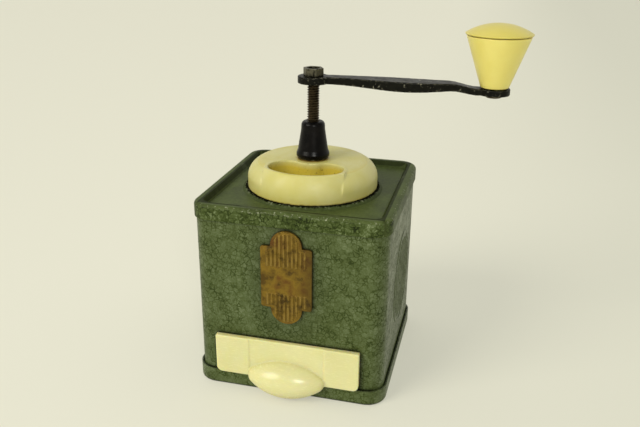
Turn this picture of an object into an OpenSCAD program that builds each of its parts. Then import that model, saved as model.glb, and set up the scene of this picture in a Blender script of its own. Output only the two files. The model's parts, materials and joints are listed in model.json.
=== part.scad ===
// Box coffee mill: a pressed sheet box with a moulded hopper dome, a top crank and a grounds drawer.
// Millimetres, +Z up. The origin is the middle of the base, on the table, and the drawer faces -Y.

/* [Box] */
// Outer width and depth of the sheet box
body_w = 98; // [92:1:116]
// Outer radius of the box's upright corners
body_corner_r = 9; // [8.5:0.5:14]
// Thickness of the pressed sheet
sheet = 0.8; // [0.6:0.1:1]
// Gap between nested pressings
press_gap = 0.15; // [0.1:0.05:0.3]
// Height of the oval bead pressed into each side wall
emboss_h = 0.4; // [0.3:0.1:1.2]
// Width of the oval bead's outline
emboss_w = 48; // [36:1:60]
// Height of the oval bead's outline
emboss_tall = 52; // [44:1:62]
// Width of a bead
bead_w = 1.6; // [1.2:0.1:3]
// Number of upright ribs inside the oval
emboss_ribs = 7; // [3:2:9]
// Shift of the side beads towards the back
emboss_back = 6; // [0:0.5:10]
// Drop of the side beads below the middle of the side
emboss_drop = 3; // [0:0.5:6]

/* [Top cap] */
// Height of the cap's rim above the table
cap_top = 100.6; // [96:0.2:112]
// Height of the cap's skirt
cap_skirt = 7.8; // [5:0.1:9]
// Outside rounding of the cap's edge
cap_edge_r = 2.1; // [1.8:0.1:3]
// Width of the rim up to the slope
rim_w = 4.6; // [4:0.1:6]
// Width of the slope down to the panel
rim_slope = 2; // [1:0.1:2.4]
// Depth of the panel below the rim
panel_drop = 3.1; // [2:0.1:4]
// Rise of the round seat under the dome
seat_rise = 1.5; // [1:0.1:2]
// Width of the seat's rim beyond the dome
seat_lip = 1.2; // [0.8:0.1:2]

/* [Base] */
// Height of the base plate's flange
flange_h = 8.6; // [6:0.1:11]
// Gap between the flange and the box
flange_gap = 0.6; // [0.4:0.1:1]

/* [Hopper dome] */
// Radius of the dome's foot
dome_r = 34.3; // [33:0.1:36]
// Height of the upright wall at the dome's foot
dome_wall_h = 4.8; // [3:0.1:7]
// Radius of the dome's shoulder
dome_shoulder_r = 9; // [7:0.1:10]
// Rise of the crown from the shoulder to the hub
crown_rise = 0.6; // [0.3:0.1:1.2]
// Wall of the dome
dome_t = 2.6; // [2:0.1:3]
// Radius of the hub column
hub_r = 11.3; // [10:0.1:12]
// Radius of the bean mouth's front lip, inside
lip_r = 28.4; // [26:0.1:29]
// Half angle between the centres of the bean mouth's round ends
mouth_half = 33; // [28:1:38]
// Turn of the bean mouth from the front, towards the crank's side
mouth_turn = 2; // [-5:1:10]
// Wall round the bean mouth
mouth_wall = 1.4; // [1.2:0.1:2.8]
// Depth of the mouth's lip below the top of the dome
lip_drop = 0.3; // [0.2:0.05:0.5]
// Height of the upright foot under the steep front wall
front_foot_h = 1.2; // [0.8:0.1:3]
// Radius of a dome screw's shank
dome_screw_r = 1.4; // [1.2:0.1:1.6]
// Radius of a dome screw's head
dome_screw_head_r = 2.6; // [2.2:0.1:2.8]
// Distance of the dome screws in from the dome's foot
dome_screw_in = 3.1; // [2.9:0.1:3.5]

/* [Spindle] */
// Radius of the spindle
shaft_r = 3.175; // [2.9:0.005:3.5]
// Running clearance round the spindle
run_clear = 0.05; // [0.03:0.01:0.08]
// Gap between flat faces that turn on each other
face_gap = 0.05; // [0.03:0.01:0.1]
// Thread that shows between the adjusting nut and the crank
thread_show = 19.6; // [12:0.1:24]
// Distance of the spindle's flat from its axis
key_flat = 2.5; // [2.2:0.05:2.8]
// Lift of the spindle over the adjusting nut's range, one turn of its thread
lift = 1.27; // [1:0.01:1.5]
// Radius of the collar that the spring rests on
collar_r = 7; // [6.6:0.1:8]
// Height of that collar
collar_h = 2; // [1.5:0.1:3]

/* [Bushes and washer] */
// Outer radius of the upper bush
bush_r = 5.5; // [5:0.1:6]
// Radius of the upper bush's flange
bush_flange_r = 8; // [7.5:0.1:9]
// Thickness of the bushes' flanges and of the key washer
washer_t = 0.5; // [0.4:0.1:0.8]
// Length of the upper bush below the dome's seat
bush_below = 7; // [5:0.5:10]
// Outer radius of the key washer
washer_r = 7.8; // [7:0.1:8.4]

/* [Adjusting nut] */
// Height of the adjusting nut
nut_h = 18.8; // [16:0.1:22]
// Radius of the nut's foot
nut_foot_r = 9.2; // [8.8:0.1:9.8]
// Height of the nut's foot
nut_foot_h = 2; // [1.2:0.1:2.5]
// Radius of the nut just above its foot
nut_skirt_r = 8.3; // [7.8:0.1:8.5]
// Radius of the nut under its rounded top
nut_neck_r = 6.4; // [6.2:0.1:7]
// Rounding of the nut's top edge
nut_round_r = 2.2; // [1.5:0.1:2.6]
// Number of finger notches round the nut's foot
nut_notches = 12; // [8:1:16]
// Radius of a finger notch
nut_notch_r = 1.1; // [0.8:0.1:1.3]
// Radius of the nut's brass insert
insert_r = 4.6; // [4.2:0.1:5]
// Length of the insert
insert_h = 11; // [8:0.5:13]

/* [Crank] */
// Distance from the spindle to the knob's axis
crank_l = 91; // [80:1:105]
// Turn of the crank at rest from +X towards +Y
crank_turn = 12; // [0:1:30]
// Thickness of the arm at the hub
arm_t = 3.6; // [3:0.1:4.5]
// Thickness of the arm at the knob
arm_end_t = 3.3; // [2.4:0.1:3.6]
// Radius of the hub eye
arm_hub_r = 8; // [7:0.1:9]
// Radius of the knob eye
arm_eye_r = 7.9; // [7.4:0.1:8.8]
// Width of the arm at its two necks
arm_neck_w = 7.6; // [6:0.1:10]
// Width of the arm at its middle
arm_mid_w = 13.5; // [10:0.1:15]
// Fall of the arm over its long middle
arm_droop = 2; // [0:0.1:3]
// Step down of the arm beside the knob
arm_step = 2.6; // [1:0.1:4]
// Length of that step
arm_step_l = 15; // [10:0.5:18]
// Depth of the arm's belly below its flat, at the middle
arm_belly = 1.5; // [0.5:0.1:2.5]
// Width of the crank nut across its flats
crank_nut_af = 9.2; // [8.6:0.1:11]
// Height of the crank nut
crank_nut_h = 4; // [3:0.1:5]

/* [Knob] */
// Radius of the knob's foot
knob_foot_r = 7; // [6.8:0.1:8.2]
// Radius of the knob's rim
knob_rim_r = 15.9; // [14.5:0.1:18]
// Height of the knob's cone
knob_h = 25.9; // [22:0.1:30]
// Wall of the knob
knob_t = 2.6; // [2:0.1:3]
// Rise of the knob's domed cap
knob_cap_rise = 5; // [4:0.1:7]
// Height of the cap's upright edge
knob_cap_edge = 0.6; // [0.4:0.1:1.5]
// How far the lid stands out past the cone's rim
knob_cap_over = 0.8; // [0.2:0.1:1.5]
// Gap between the knob and the arm
knob_gap = 0.3; // [0.2:0.05:0.5]
// Radius of the pin that the knob turns on
pin_r = 2.4; // [2:0.1:2.8]
// Radius of the pin's upper head
pin_head_r = 4.6; // [4.2:0.1:5]
// Thickness of the pin's upper head
pin_head_t = 1.8; // [1.4:0.1:2.2]
// Thickness of the knob's floor round the pin
knob_floor = 6.4; // [5.8:0.1:8]
// Radius of the pin's riveted tail
pin_tail_r = 3.8; // [3.4:0.1:4.4]
// Height of the pin's riveted tail
pin_tail_h = 1.4; // [1:0.1:2]

/* [Hopper bowl and burrs] */
// Height of the bowl
bowl_h = 38; // [34:0.5:42]
// Radius inside the bowl at its bottom
bowl_bottom_r = 18.5; // [17:0.1:19]
// Radius of the bolted flanges of bowl and burr ring
ring_flange_r = 32.5; // [32:0.1:34]
// Thickness of the burr ring's flange
ring_flange_t = 3; // [2.5:0.1:4]
// Outer radius of the burr ring's body
ring_r = 22; // [21:0.1:22.4]
// Height of the burr ring
ring_h = 16; // [14:0.5:18]
// Radius of the burr ring's bore at its top
ring_top_r = 12.6; // [12:0.1:13]
// Radius of the burr ring's bore at its bottom
ring_bottom_r = 17.6; // [17.2:0.1:18]
// Number of teeth in the burr ring
ring_teeth = 20; // [14:2:24]
// Depth of the burr teeth
tooth_depth = 1.4; // [1:0.1:1.6]
// Radius of the burr cone at its top
cone_top_r = 8.4; // [7.6:0.1:9]
// Radius of the burr cone at its bottom
cone_bottom_r = 16.4; // [16:0.1:16.5]
// Height of the burr cone above the burr ring
cone_over = 2; // [1:0.1:3]
// Number of teeth round the burr cone
cone_teeth = 12; // [8:1:14]
// Slant of the burr cone's teeth
cone_slant = 22; // [10:1:28]
// Width of the burr's lower nut across its flats
burr_nut_af = 11; // [10:0.1:13]
// Height of the burr's lower nut
burr_nut_h = 4; // [3:0.1:5]

/* [Spring] */
// Wire of the burr spring
wire_d = 1.3; // [1:0.1:1.6]
// Radius of the spring's turns, at the middle of the wire
spring_r = 5.3; // [5:0.1:5.8]
// Number of turns of the spring
spring_turns = 6; // [5:0.5:7]

/* [Lower bridge] */
// Thickness of the bridge's strap
bridge_t = 2.5; // [2:0.1:3]
// Width of the bridge's strap
bridge_w = 12; // [10:0.5:14]
// Gap between the bridge and the burr's lower nut
bridge_gap = 2.2; // [1.8:0.1:4]
// Radius of the lower bush
lower_bush_r = 5; // [4.6:0.1:5.4]
// Length of the lower bush
lower_bush_h = 6; // [5:0.1:7]
// Radius of the burr bolts
bolt_r = 2; // [1.6:0.1:2.2]
// Distance of the burr bolts from the axis
bolt_x = 28.5; // [28:0.1:29]
// Radius of a bolt's head
bolt_head_r = 3.5; // [3:0.1:3.6]
// Height of a bolt's head and nut
bolt_head_h = 2.6; // [2:0.1:3.2]

/* [Drawer] */
// Width of the drawer's front
front_w = 75.5; // [73:0.5:80]
// Height of the drawer's front
front_h = 21.7; // [20.4:0.1:26]
// Thickness of the drawer's front
front_t = 3; // [2.5:0.1:4]
// Radius of the front's upper corners
front_top_r = 0.6; // [0.5:0.1:2]
// Radius of the front's lower corners
front_low_r = 3; // [2:0.1:4]
// Width of the sunk middle field
field_w = 40; // [36:0.5:44]
// Depth of the sunk middle field
field_depth = 0.4; // [0.2:0.1:0.8]
// Length of the pull from tip to tip
pull_l = 40.4; // [34:0.2:44]
// Largest radius of the pull
pull_r = 9.9; // [8:0.1:10]
// Radius of the pull's round ends
pull_end_r = 5; // [4:0.1:7]
// Height of the pull's axis above the front's lower edge
pull_up = 1.3; // [1.2:0.1:3]
// Running gap round the drawer
drawer_gap = 0.3; // [0.2:0.05:0.5]
// Width of the tray
tray_w = 70; // [66:0.5:71]
// Height of the tray
tray_h = 18.4; // [15:0.1:19]
// Sheet of the tray
tray_t = 0.7; // [0.5:0.1:1]
// Room behind the tray
tray_back_room = 12; // [8:1:20]
// Distance of the drawer's screws from the middle
drawer_screw_x = 28; // [24:0.5:31]
// Radius of a drawer screw's shank
drawer_screw_r = 1.3; // [1:0.1:1.5]
// Radius of a drawer screw's head
drawer_screw_head_r = 2.5; // [2:0.1:3]
// Width of the rails' shelves under the tray
rail_shelf_w = 6; // [4:0.5:8]
// Height of the rails' guides above their shelves
rail_guide_h = 5; // [3:0.5:8]
// Width of the rails' feet
rail_foot_w = 6; // [4:0.5:8]

/* [Badge] */
// Width of the badge's shoulders
badge_w = 26; // [22:0.5:30]
// Height of the badge
badge_h = 50; // [44:0.5:56]
// Width of the badge's arched middle
badge_arch_w = 16; // [13:0.2:18]
// Height of the badge's shoulders
badge_shoulder_h = 33; // [26:0.5:36]
// Height of the badge's middle above the table
badge_z = 66.5; // [60:0.5:66.5]
// Thickness of the badge's plate
badge_t = 1.4; // [1:0.1:1.8]
// Height of the badge's ribs
badge_relief = 0.5; // [0.3:0.1:0.8]
// Plain margin round the badge's ribs
badge_margin = 1.4; // [1:0.1:2]
// Rounding of the badge's shoulders
badge_corner_r = 1.2; // [0.8:0.1:1.6]
// Number of upright ribs across the badge
badge_ribs = 10; // [8:2:12]
// Width of a rib
badge_rib_w = 1.1; // [0.8:0.1:1.3]
// Height of the plain field across the badge's middle
badge_field_h = 15; // [12:0.5:18]
// Drop of the plain field below the badge's middle
badge_field_drop = 1.3; // [0:0.1:2]
// Width of the badge's two tabs
tab_w = 4; // [3:0.5:6]

/* [Hidden] */
$fn = 96;

hammer_green = "#6d7a58";
cap_green = "#5f6a4c";
cream = "#e0d79a";
knob_cream = "#e6d98a";
black_bakelite = "#1c1b1a";
dark_steel = "#4a4641";
grey_steel = "#8a8a86";
cast_grey = "#5a5a58";
brass = "#a8834a";

// Room left beyond a cut so that it passes right through
cut = 1;

// Nested pressings, from the box outwards
cap_w = body_w + 2 * (press_gap + sheet);
cap_corner_r = body_corner_r + press_gap + sheet;
base_w = body_w + 2 * (flange_gap + sheet);
base_corner_r = body_corner_r + flange_gap + sheet;
base_edge_r = flange_gap + sheet;
shell_low = sheet;
shell_high = cap_top - cap_edge_r;
panel_w = cap_w - 2 * (rim_w + rim_slope);
panel_corner_r = cap_corner_r - rim_w - rim_slope;

// Heights of the top, from the panel upwards
panel_z = cap_top - panel_drop;
seat_z = panel_z + seat_rise;
seat_r = dome_r + seat_lip;
dome_top = seat_z + dome_wall_h + dome_shoulder_r + crown_rise;
mouth_top = dome_top - lip_drop;
crown_r = hub_r + sheet;
lip_out = lip_r + mouth_wall + press_gap;
// How far the mouth's round ends stand past its arcs, so that they cross and don't just touch
mouth_bulge = 0.06;
mouth_mid_r = (hub_r + lip_r) / 2;
mouth_end_r = (lip_r - hub_r) / 2 + mouth_bulge;
// Half width of the steep front wall, just past the mouth's round ends
front_half_w = mouth_mid_r * sin(mouth_half) + mouth_end_r + mouth_wall + press_gap;
front_z0 = seat_z + front_foot_h;
front_in = dome_r + mouth_bulge - lip_out;
front_arc_r = (front_in * front_in + pow(mouth_top - front_z0, 2)) / (2 * front_in);
washer_z = dome_top + washer_t + face_gap;
nut_z = washer_z + washer_t + face_gap;
nut_top = nut_z + nut_h;
arm_z = nut_top + thread_show;
arm_top = arm_z + arm_t;
shaft_top = arm_top + crank_nut_h - sheet;
shaft_bore = shaft_r + run_clear;

// Screws that hold the dome and the bowl to the cap
dome_screw_d = dome_r - dome_screw_in;
dome_screw_angles = [90, 195, 345];
dome_boss_r = dome_screw_r + 1.5;
dome_boss_h = dome_wall_h + 1;
bean_hole_r = dome_screw_d - dome_screw_head_r;

// Bowl and burrs hang under the seat
bowl_top = seat_z - sheet;
bowl_bottom = bowl_top - bowl_h;
bowl_flange_r = dome_screw_d + dome_screw_head_r;
bowl_top_r = bean_hole_r - sheet;
ring_top = bowl_bottom;
ring_bottom = ring_top - ring_h;
cone_bottom = ring_bottom;
cone_top = ring_top + cone_over;
cone_h = cone_top - cone_bottom;
cone_lean = atan((cone_bottom_r - cone_top_r) / cone_h);
ring_lean = atan((ring_bottom_r - ring_top_r) / ring_h);
burr_nut_z = cone_bottom - burr_nut_h;
bush_low = seat_z - bush_below;
collar_top = cone_top + collar_h;

// Bridge under the burrs
bridge_top = burr_nut_z - bridge_gap;
bridge_low = bridge_top - bridge_t;
leg_x = ring_r + drawer_gap;
foot_top = ring_top - ring_flange_t;
foot_low = foot_top - bridge_t;
lower_bush_top = bridge_top + washer_t;
shaft_low = lower_bush_top - lower_bush_h + washer_t;
bolt_low = foot_low - bolt_head_h - bolt_r;

// Crank and knob
arm_end_z = arm_z + arm_t / 2 - arm_droop - arm_step;
arm_end_top = arm_end_z + arm_end_t / 2;
knob_z = arm_end_top + knob_gap;
knob_top = knob_z + knob_h;
knob_cone_slope = (knob_rim_r - knob_foot_r) / knob_h;
pin_head_z = knob_z + knob_floor + face_gap;
knob_lid_r = knob_rim_r + knob_cap_over;
knob_cap_sphere_r = (knob_lid_r * knob_lid_r + knob_cap_rise * knob_cap_rise) / (2 * knob_cap_rise);
arm_steps = 28;

// Drawer, above the base plate's flange
front_z = flange_h + drawer_gap;
front_back_y = -body_w / 2 - drawer_gap;
front_face_y = front_back_y - front_t;
tray_z = front_z + drawer_gap;
tray_back_y = body_w / 2 - sheet - tray_back_room;
tray_l = tray_back_y - front_back_y;
rail_top = tray_z - drawer_gap;
rail_x = tray_w / 2 + drawer_gap;
rail_front_y = -body_w / 2 + 2 * sheet;
pull_z = front_z + pull_up;
pull_end_at = pull_l / 2 - pull_end_r;
pull_slim = pull_l / 2 - pull_r;
pull_sink = pull_slim * (2 * pull_end_at - pull_slim) / (2 * (pull_end_at - pull_slim));
pull_arc_r = pull_r + pull_sink;
pull_turn_at = pull_end_at * pull_arc_r / (pull_arc_r - pull_end_r);
drawer_screw_z = tray_z + tray_h / 2;
pull_back_y = -base_w / 2 - drawer_gap;

// Square with round corners
module rounded_square(w, d, r) {
    square([w - 2 * r, d], center = true);
    square([w, d - 2 * r], center = true);
    for (sx = [-1, 1], sy = [-1, 1])
        translate([sx * (w / 2 - r), sy * (d / 2 - r)]) circle(r);
}

// Upright slot with round ends
module upright_oval(w, h) {
    square([w, h - w], center = true);
    for (s = [-1, 1])
        translate([0, s * (h - w) / 2]) circle(d = w);
}

// Sweeps a section round a square with round corners; x is the distance from the corner's centre
module rim_sweep(w, r) {
    reach = w / 2 - r;
    for (side = [0:3])
        rotate([0, 0, 90 * side])
            translate([reach, reach, 0]) {
                rotate_extrude(angle = 90) children();
                rotate([90, 0, 0]) linear_extrude(2 * reach) children();
            }
}

// Quarter of a ring, bent from the horizontal to the vertical
module bend(r, t, up) {
    intersection() {
        difference() {
            circle(r);
            circle(r - t);
        }
        translate([0, up ? 0 : -r]) square(r);
    }
}

module base_plate() {
    color(hammer_green) {
        rim_sweep(base_w, base_corner_r) {
            translate([base_corner_r - base_edge_r, base_edge_r]) bend(base_edge_r, sheet, false);
            translate([base_corner_r - sheet, base_edge_r]) square([sheet, flange_h - base_edge_r]);
        }
        linear_extrude(sheet)
            rounded_square(base_w - 2 * base_edge_r, base_w - 2 * base_edge_r, base_corner_r - base_edge_r);
    }
}

// Oval bead with upright ribs, as pressed into a side wall
module side_emboss() {
    inner_w = emboss_w - 2 * bead_w;
    inner_h = emboss_tall - 2 * bead_w;
    pitch = inner_w / (emboss_ribs + 1);
    difference() {
        upright_oval(emboss_w, emboss_tall);
        upright_oval(inner_w, inner_h);
    }
    for (i = [1:emboss_ribs]) {
        x = i * pitch - inner_w / 2;
        rib_h = inner_h - inner_w + 2 * sqrt(inner_w * inner_w / 4 - x * x) - 3 * bead_w;
        translate([x, 0]) upright_oval(bead_w, rib_h);
    }
}

module body_shell() {
    emboss_z = (flange_h + cap_top - cap_skirt) / 2 - emboss_drop;
    color(hammer_green)
        difference() {
            union() {
                translate([0, 0, shell_low]) linear_extrude(shell_high - shell_low)
                    difference() {
                        rounded_square(body_w, body_w, body_corner_r);
                        rounded_square(body_w - 2 * sheet, body_w - 2 * sheet, body_corner_r - sheet);
                    }
                for (side = [0, 1])
                    mirror([side, 0, 0]) translate([body_w / 2 - sheet / 2, emboss_back, emboss_z])
                        rotate([90, 0, 90]) linear_extrude(emboss_h + sheet / 2) side_emboss();
            }
            translate([-rail_x, -body_w / 2 - cut, rail_top])
                cube([2 * rail_x, 2 * cut + sheet, tray_h + 2 * drawer_gap]);
            for (s = [-1, 1])
                translate([0, -body_w / 2, badge_z + s * badge_h / 4])
                    cube([tab_w + 2 * press_gap, 4 * sheet, sheet + 2 * press_gap], center = true);
        }
}

module cap_section() {
    rim_x = cap_corner_r - rim_w;
    translate([cap_corner_r - sheet, cap_top - cap_skirt]) square([sheet, cap_skirt - cap_edge_r]);
    translate([cap_corner_r - cap_edge_r, cap_top - cap_edge_r]) bend(cap_edge_r, sheet, true);
    translate([rim_x, cap_top - sheet]) square([rim_w - cap_edge_r, sheet]);
    polygon([[rim_x, cap_top], [rim_x - rim_slope, panel_z],
        [rim_x - rim_slope, panel_z - sheet], [rim_x, cap_top - sheet]]);
}

module dome_screw_places() {
    for (a = dome_screw_angles)
        rotate([0, 0, a]) translate([dome_screw_d, 0, 0]) children();
}

module top_cap() {
    seat_foot_r = seat_r + seat_rise;
    lap = sheet / 2;
    color(cap_green)
        difference() {
            union() {
                rim_sweep(cap_w, cap_corner_r) cap_section();
                translate([0, 0, panel_z - sheet]) linear_extrude(sheet)
                    difference() {
                        rounded_square(panel_w + 2 * lap, panel_w + 2 * lap, panel_corner_r + lap);
                        circle(seat_foot_r - lap);
                    }
                rotate_extrude()
                    polygon([[bean_hole_r, seat_z], [seat_r, seat_z], [seat_foot_r, panel_z],
                        [seat_foot_r, panel_z - sheet], [seat_r, seat_z - sheet],
                        [bean_hole_r, seat_z - sheet]]);
            }
            dome_screw_places()
                translate([0, 0, panel_z - cut])
                    cylinder(r = dome_screw_r + press_gap, h = seat_rise + 2 * cut);
        }
}

module badge_outline(inset) {
    upright_oval(badge_arch_w - 2 * inset, badge_h - 2 * inset);
    rounded_square(badge_w - 2 * inset, badge_shoulder_h - 2 * inset, badge_corner_r);
}

// Upright ribs above and below a plain field, cut off by the badge's outline
module badge_rib_plan() {
    pitch = (badge_w - 2 * badge_margin) / (badge_ribs + 1);
    field_low = -badge_field_drop - badge_field_h / 2;
    intersection() {
        badge_outline(badge_margin);
        for (i = [1:badge_ribs], low = [field_low - badge_h, field_low + badge_field_h])
            translate([(i - (badge_ribs + 1) / 2) * pitch - badge_rib_w / 2, low])
                square([badge_rib_w, badge_h]);
    }
}

module badge() {
    color(brass)
        translate([0, -body_w / 2, badge_z]) rotate([90, 0, 0]) {
            linear_extrude(badge_t) badge_outline(0);
            linear_extrude(badge_t + badge_relief) badge_rib_plan();
            for (s = [-1, 1])
                translate([-tab_w / 2, s * badge_h / 4 - sheet / 2, -2 * sheet - cut])
                    cube([tab_w, sheet, 2 * sheet + cut + badge_t / 2]);
        }
}

// Half section of the dome, filled to the axis
module dome_section(r, shoulder, foot) {
    spring_z = seat_z + dome_wall_h;
    polygon([[0, foot], [r, foot], [r, spring_z], [r - shoulder, spring_z + shoulder],
        [crown_r, spring_z + shoulder + crown_rise], [0, spring_z + shoulder + crown_rise]]);
    translate([r - shoulder, spring_z])
        intersection() {
            circle(shoulder);
            square(shoulder);
        }
}

// Plan of the bean mouth, a bent band with round ends
module bean_mouth(grow) {
    far = 2 * (lip_r + grow);
    side = [far * sin(mouth_half), -far * cos(mouth_half)];
    rotate(mouth_turn) {
        intersection() {
            difference() {
                circle(lip_r + grow);
                circle(hub_r - grow);
            }
            polygon([[0, 0], [-side.x, side.y], side]);
        }
        for (s = [-1, 1])
            rotate(s * mouth_half) translate([0, -mouth_mid_r]) circle(mouth_end_r + grow);
    }
}

// Section of the steep front wall, an arc from the dome's foot to the mouth's lip
module front_arc() {
    translate([dome_r + mouth_bulge - front_arc_r, front_z0]) circle(front_arc_r, $fn = 180);
}

// Turns a section, and keeps what lies in front of the mouth
module front_block() {
    intersection() {
        rotate_extrude() children();
        rotate([0, 0, mouth_turn]) translate([-front_half_w, -2 * dome_r, seat_z - cut])
            cube([2 * front_half_w, 2 * dome_r, dome_top - seat_z + 3 * cut]);
    }
}

module hopper_dome() {
    inside = dome_r - dome_t / 2;
    block_r = lip_r - dome_t;
    color(cream)
        difference() {
            union() {
                difference() {
                    rotate_extrude() dome_section(dome_r, dome_shoulder_r, seat_z);
                    rotate_extrude() dome_section(dome_r - dome_t, dome_shoulder_r - dome_t, seat_z - cut);
                    front_block()
                        difference() {
                            translate([lip_out, front_z0])
                                square([dome_r + cut - lip_out, dome_top + cut - front_z0]);
                            front_arc();
                        }
                }
                front_block()
                    intersection() {
                        translate([block_r, seat_z]) square([inside - block_r, mouth_top - seat_z]);
                        front_arc();
                    }
                translate([0, 0, seat_z]) linear_extrude(mouth_top - seat_z) bean_mouth(mouth_wall);
                translate([0, 0, seat_z]) cylinder(r = hub_r - press_gap, h = dome_top - seat_z);
                dome_screw_places()
                    translate([0, 0, seat_z]) cylinder(r = dome_boss_r, h = dome_boss_h);
            }
            translate([0, 0, seat_z - cut]) linear_extrude(dome_top - seat_z + 2 * cut) bean_mouth(0);
            translate([0, 0, seat_z - cut])
                cylinder(r = bush_r + run_clear, h = dome_top - seat_z + 2 * cut);
            dome_screw_places()
                translate([0, 0, seat_z - cut])
                    cylinder(r = dome_screw_r + run_clear, h = dome_boss_h + cut - sheet);
        }
}

module dome_screws() {
    head_z = bowl_top - sheet - dome_screw_r;
    color(grey_steel)
        dome_screw_places()
            translate([0, 0, head_z]) {
                cylinder(r = dome_screw_head_r, h = dome_screw_r);
                cylinder(r = dome_screw_r, h = seat_z + dome_boss_h - 2 * sheet - head_z);
            }
}

module hopper_bowl() {
    color(grey_steel)
        difference() {
            rotate_extrude()
                polygon([[bowl_top_r, bowl_top], [bowl_flange_r, bowl_top], [bowl_flange_r, bowl_top - sheet],
                    [bowl_top_r + sheet, bowl_top - sheet], [bowl_bottom_r + sheet, bowl_bottom + sheet],
                    [ring_flange_r, bowl_bottom + sheet], [ring_flange_r, bowl_bottom],
                    [bowl_bottom_r, bowl_bottom]]);
            dome_screw_places()
                translate([0, 0, bowl_top - sheet - cut])
                    cylinder(r = dome_screw_r + press_gap, h = sheet + 2 * cut);
            bolt_places()
                translate([0, 0, bowl_bottom - cut]) cylinder(r = bolt_r + press_gap, h = sheet + 2 * cut);
        }
}

module bolt_places() {
    for (s = [-1, 1])
        translate([s * bolt_x, 0, 0]) children();
}

module upper_bush() {
    color(brass)
        rotate_extrude()
            polygon([[shaft_bore, bush_low], [bush_r, bush_low], [bush_r, dome_top],
                [bush_flange_r, dome_top],
                [bush_flange_r, dome_top + washer_t], [shaft_bore, dome_top + washer_t]]);
}

module key_washer() {
    color(grey_steel)
        translate([0, 0, washer_z]) linear_extrude(washer_t)
            difference() {
                circle(washer_r);
                intersection() {
                    circle(shaft_bore);
                    translate([-2 * shaft_r + key_flat + run_clear, -shaft_r - cut])
                        square([2 * shaft_r, 2 * (shaft_r + cut)]);
                }
            }
}

module adjusting_nut() {
    skirt_z = nut_z + 2 * nut_foot_h;
    round_z = nut_top - nut_round_r;
    color(black_bakelite)
        difference() {
            rotate_extrude() {
                polygon([[0, nut_z], [nut_foot_r, nut_z], [nut_foot_r, nut_z + nut_foot_h],
                    [nut_skirt_r, skirt_z],
                    [nut_neck_r, round_z], [nut_neck_r - nut_round_r, nut_top], [0, nut_top]]);
                translate([nut_neck_r - nut_round_r, round_z])
                    intersection() {
                        circle(nut_round_r);
                        square(nut_round_r);
                    }
            }
            translate([0, 0, nut_z - cut]) cylinder(r = shaft_bore, h = nut_h + 2 * cut);
            translate([0, 0, nut_z - cut]) cylinder(r = insert_r + run_clear, h = insert_h + cut);
            for (i = [1:nut_notches])
                rotate([0, 0, i * 360 / nut_notches])
                    translate([nut_foot_r + nut_notch_r / 2, 0, nut_z - cut])
                        cylinder(r = nut_notch_r, h = 2 * nut_foot_h + cut, $fn = 24);
        }
}

module nut_insert() {
    color(brass)
        translate([0, 0, nut_z])
            difference() {
                cylinder(r = insert_r, h = insert_h);
                translate([0, 0, -cut]) cylinder(r = shaft_bore, h = insert_h + 2 * cut);
            }
}

module shaft() {
    flat_low = washer_z - lift - washer_t;
    flat_high = nut_z + washer_t;
    color(dark_steel)
        difference() {
            union() {
                translate([0, 0, shaft_low]) cylinder(r = shaft_r, h = shaft_top - shaft_low);
                translate([0, 0, cone_top]) cylinder(r = collar_r, h = collar_h);
            }
            translate([key_flat, -shaft_r - cut, flat_low])
                cube([shaft_r, 2 * (shaft_r + cut), flat_high - flat_low]);
        }
}

// Smooth step from 0 to 1
function ease(t) = let (s = min(1, max(0, t))) s * s * (3 - 2 * s);
function arm_mid_z(u) = arm_z + arm_t / 2 - arm_droop * ease(u / (crank_l - arm_eye_r - arm_step_l))
    - arm_step * ease((u - crank_l + arm_eye_r + arm_step_l) / arm_step_l);
function arm_thick(u) = arm_t + (arm_end_t - arm_t) * ease(u / crank_l);
function arm_swell(u) = pow(sin(180 * u / crank_l), 3);
function arm_low_z(u) = arm_mid_z(u) - arm_thick(u) / 2 - arm_belly * arm_swell(u);
function arm_half_w(u) = arm_neck_w / 2 + (arm_mid_w - arm_neck_w) / 2 * arm_swell(u);

// Arm seen from the side
module arm_side() {
    us = [for (i = [0:arm_steps]) i * crank_l / arm_steps];
    end = arm_eye_r + cut;
    polygon(concat([[-arm_hub_r - cut, arm_z]], [for (u = us) [u, arm_low_z(u)]],
        [[crank_l + end, arm_end_z - arm_end_t / 2], [crank_l + end, arm_end_top]],
        [for (i = [arm_steps:-1:0]) [us[i], arm_mid_z(us[i]) + arm_thick(us[i]) / 2]],
        [[-arm_hub_r - cut, arm_top]]));
}

// Arm seen from above
module arm_plan() {
    us = [for (i = [0:arm_steps]) i * crank_l / arm_steps];
    polygon(concat([for (u = us) [u, -arm_half_w(u)]],
        [for (i = [arm_steps:-1:0]) [us[i], arm_half_w(us[i])]]));
    circle(arm_hub_r);
    translate([crank_l, 0]) circle(arm_eye_r);
}

module crank_arm() {
    side_reach = arm_mid_w + arm_hub_r;
    color(black_bakelite)
        rotate([0, 0, crank_turn])
            difference() {
                intersection() {
                    translate([0, side_reach, 0]) rotate([90, 0, 0])
                        linear_extrude(2 * side_reach) arm_side();
                    translate([0, 0, arm_end_z - arm_end_t])
                        linear_extrude(arm_top - arm_end_z + 2 * arm_end_t) arm_plan();
                }
                translate([0, 0, arm_z - cut]) cylinder(r = shaft_bore, h = arm_t + 2 * cut);
                translate([crank_l, 0, arm_end_z - arm_end_t])
                    cylinder(r = pin_r + run_clear, h = 2 * arm_end_t);
            }
}

module hex_nut(af, h) {
    difference() {
        cylinder(d = af / cos(30), h = h, $fn = 6);
        translate([0, 0, -cut]) cylinder(r = shaft_bore, h = h + 2 * cut);
    }
}

module crank_nut() {
    color(grey_steel)
        translate([0, 0, arm_top]) hex_nut(crank_nut_af, crank_nut_h);
}

// Moves to the knob's axis
module at_knob() {
    rotate([0, 0, crank_turn]) translate([crank_l, 0, 0]) children();
}

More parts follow.
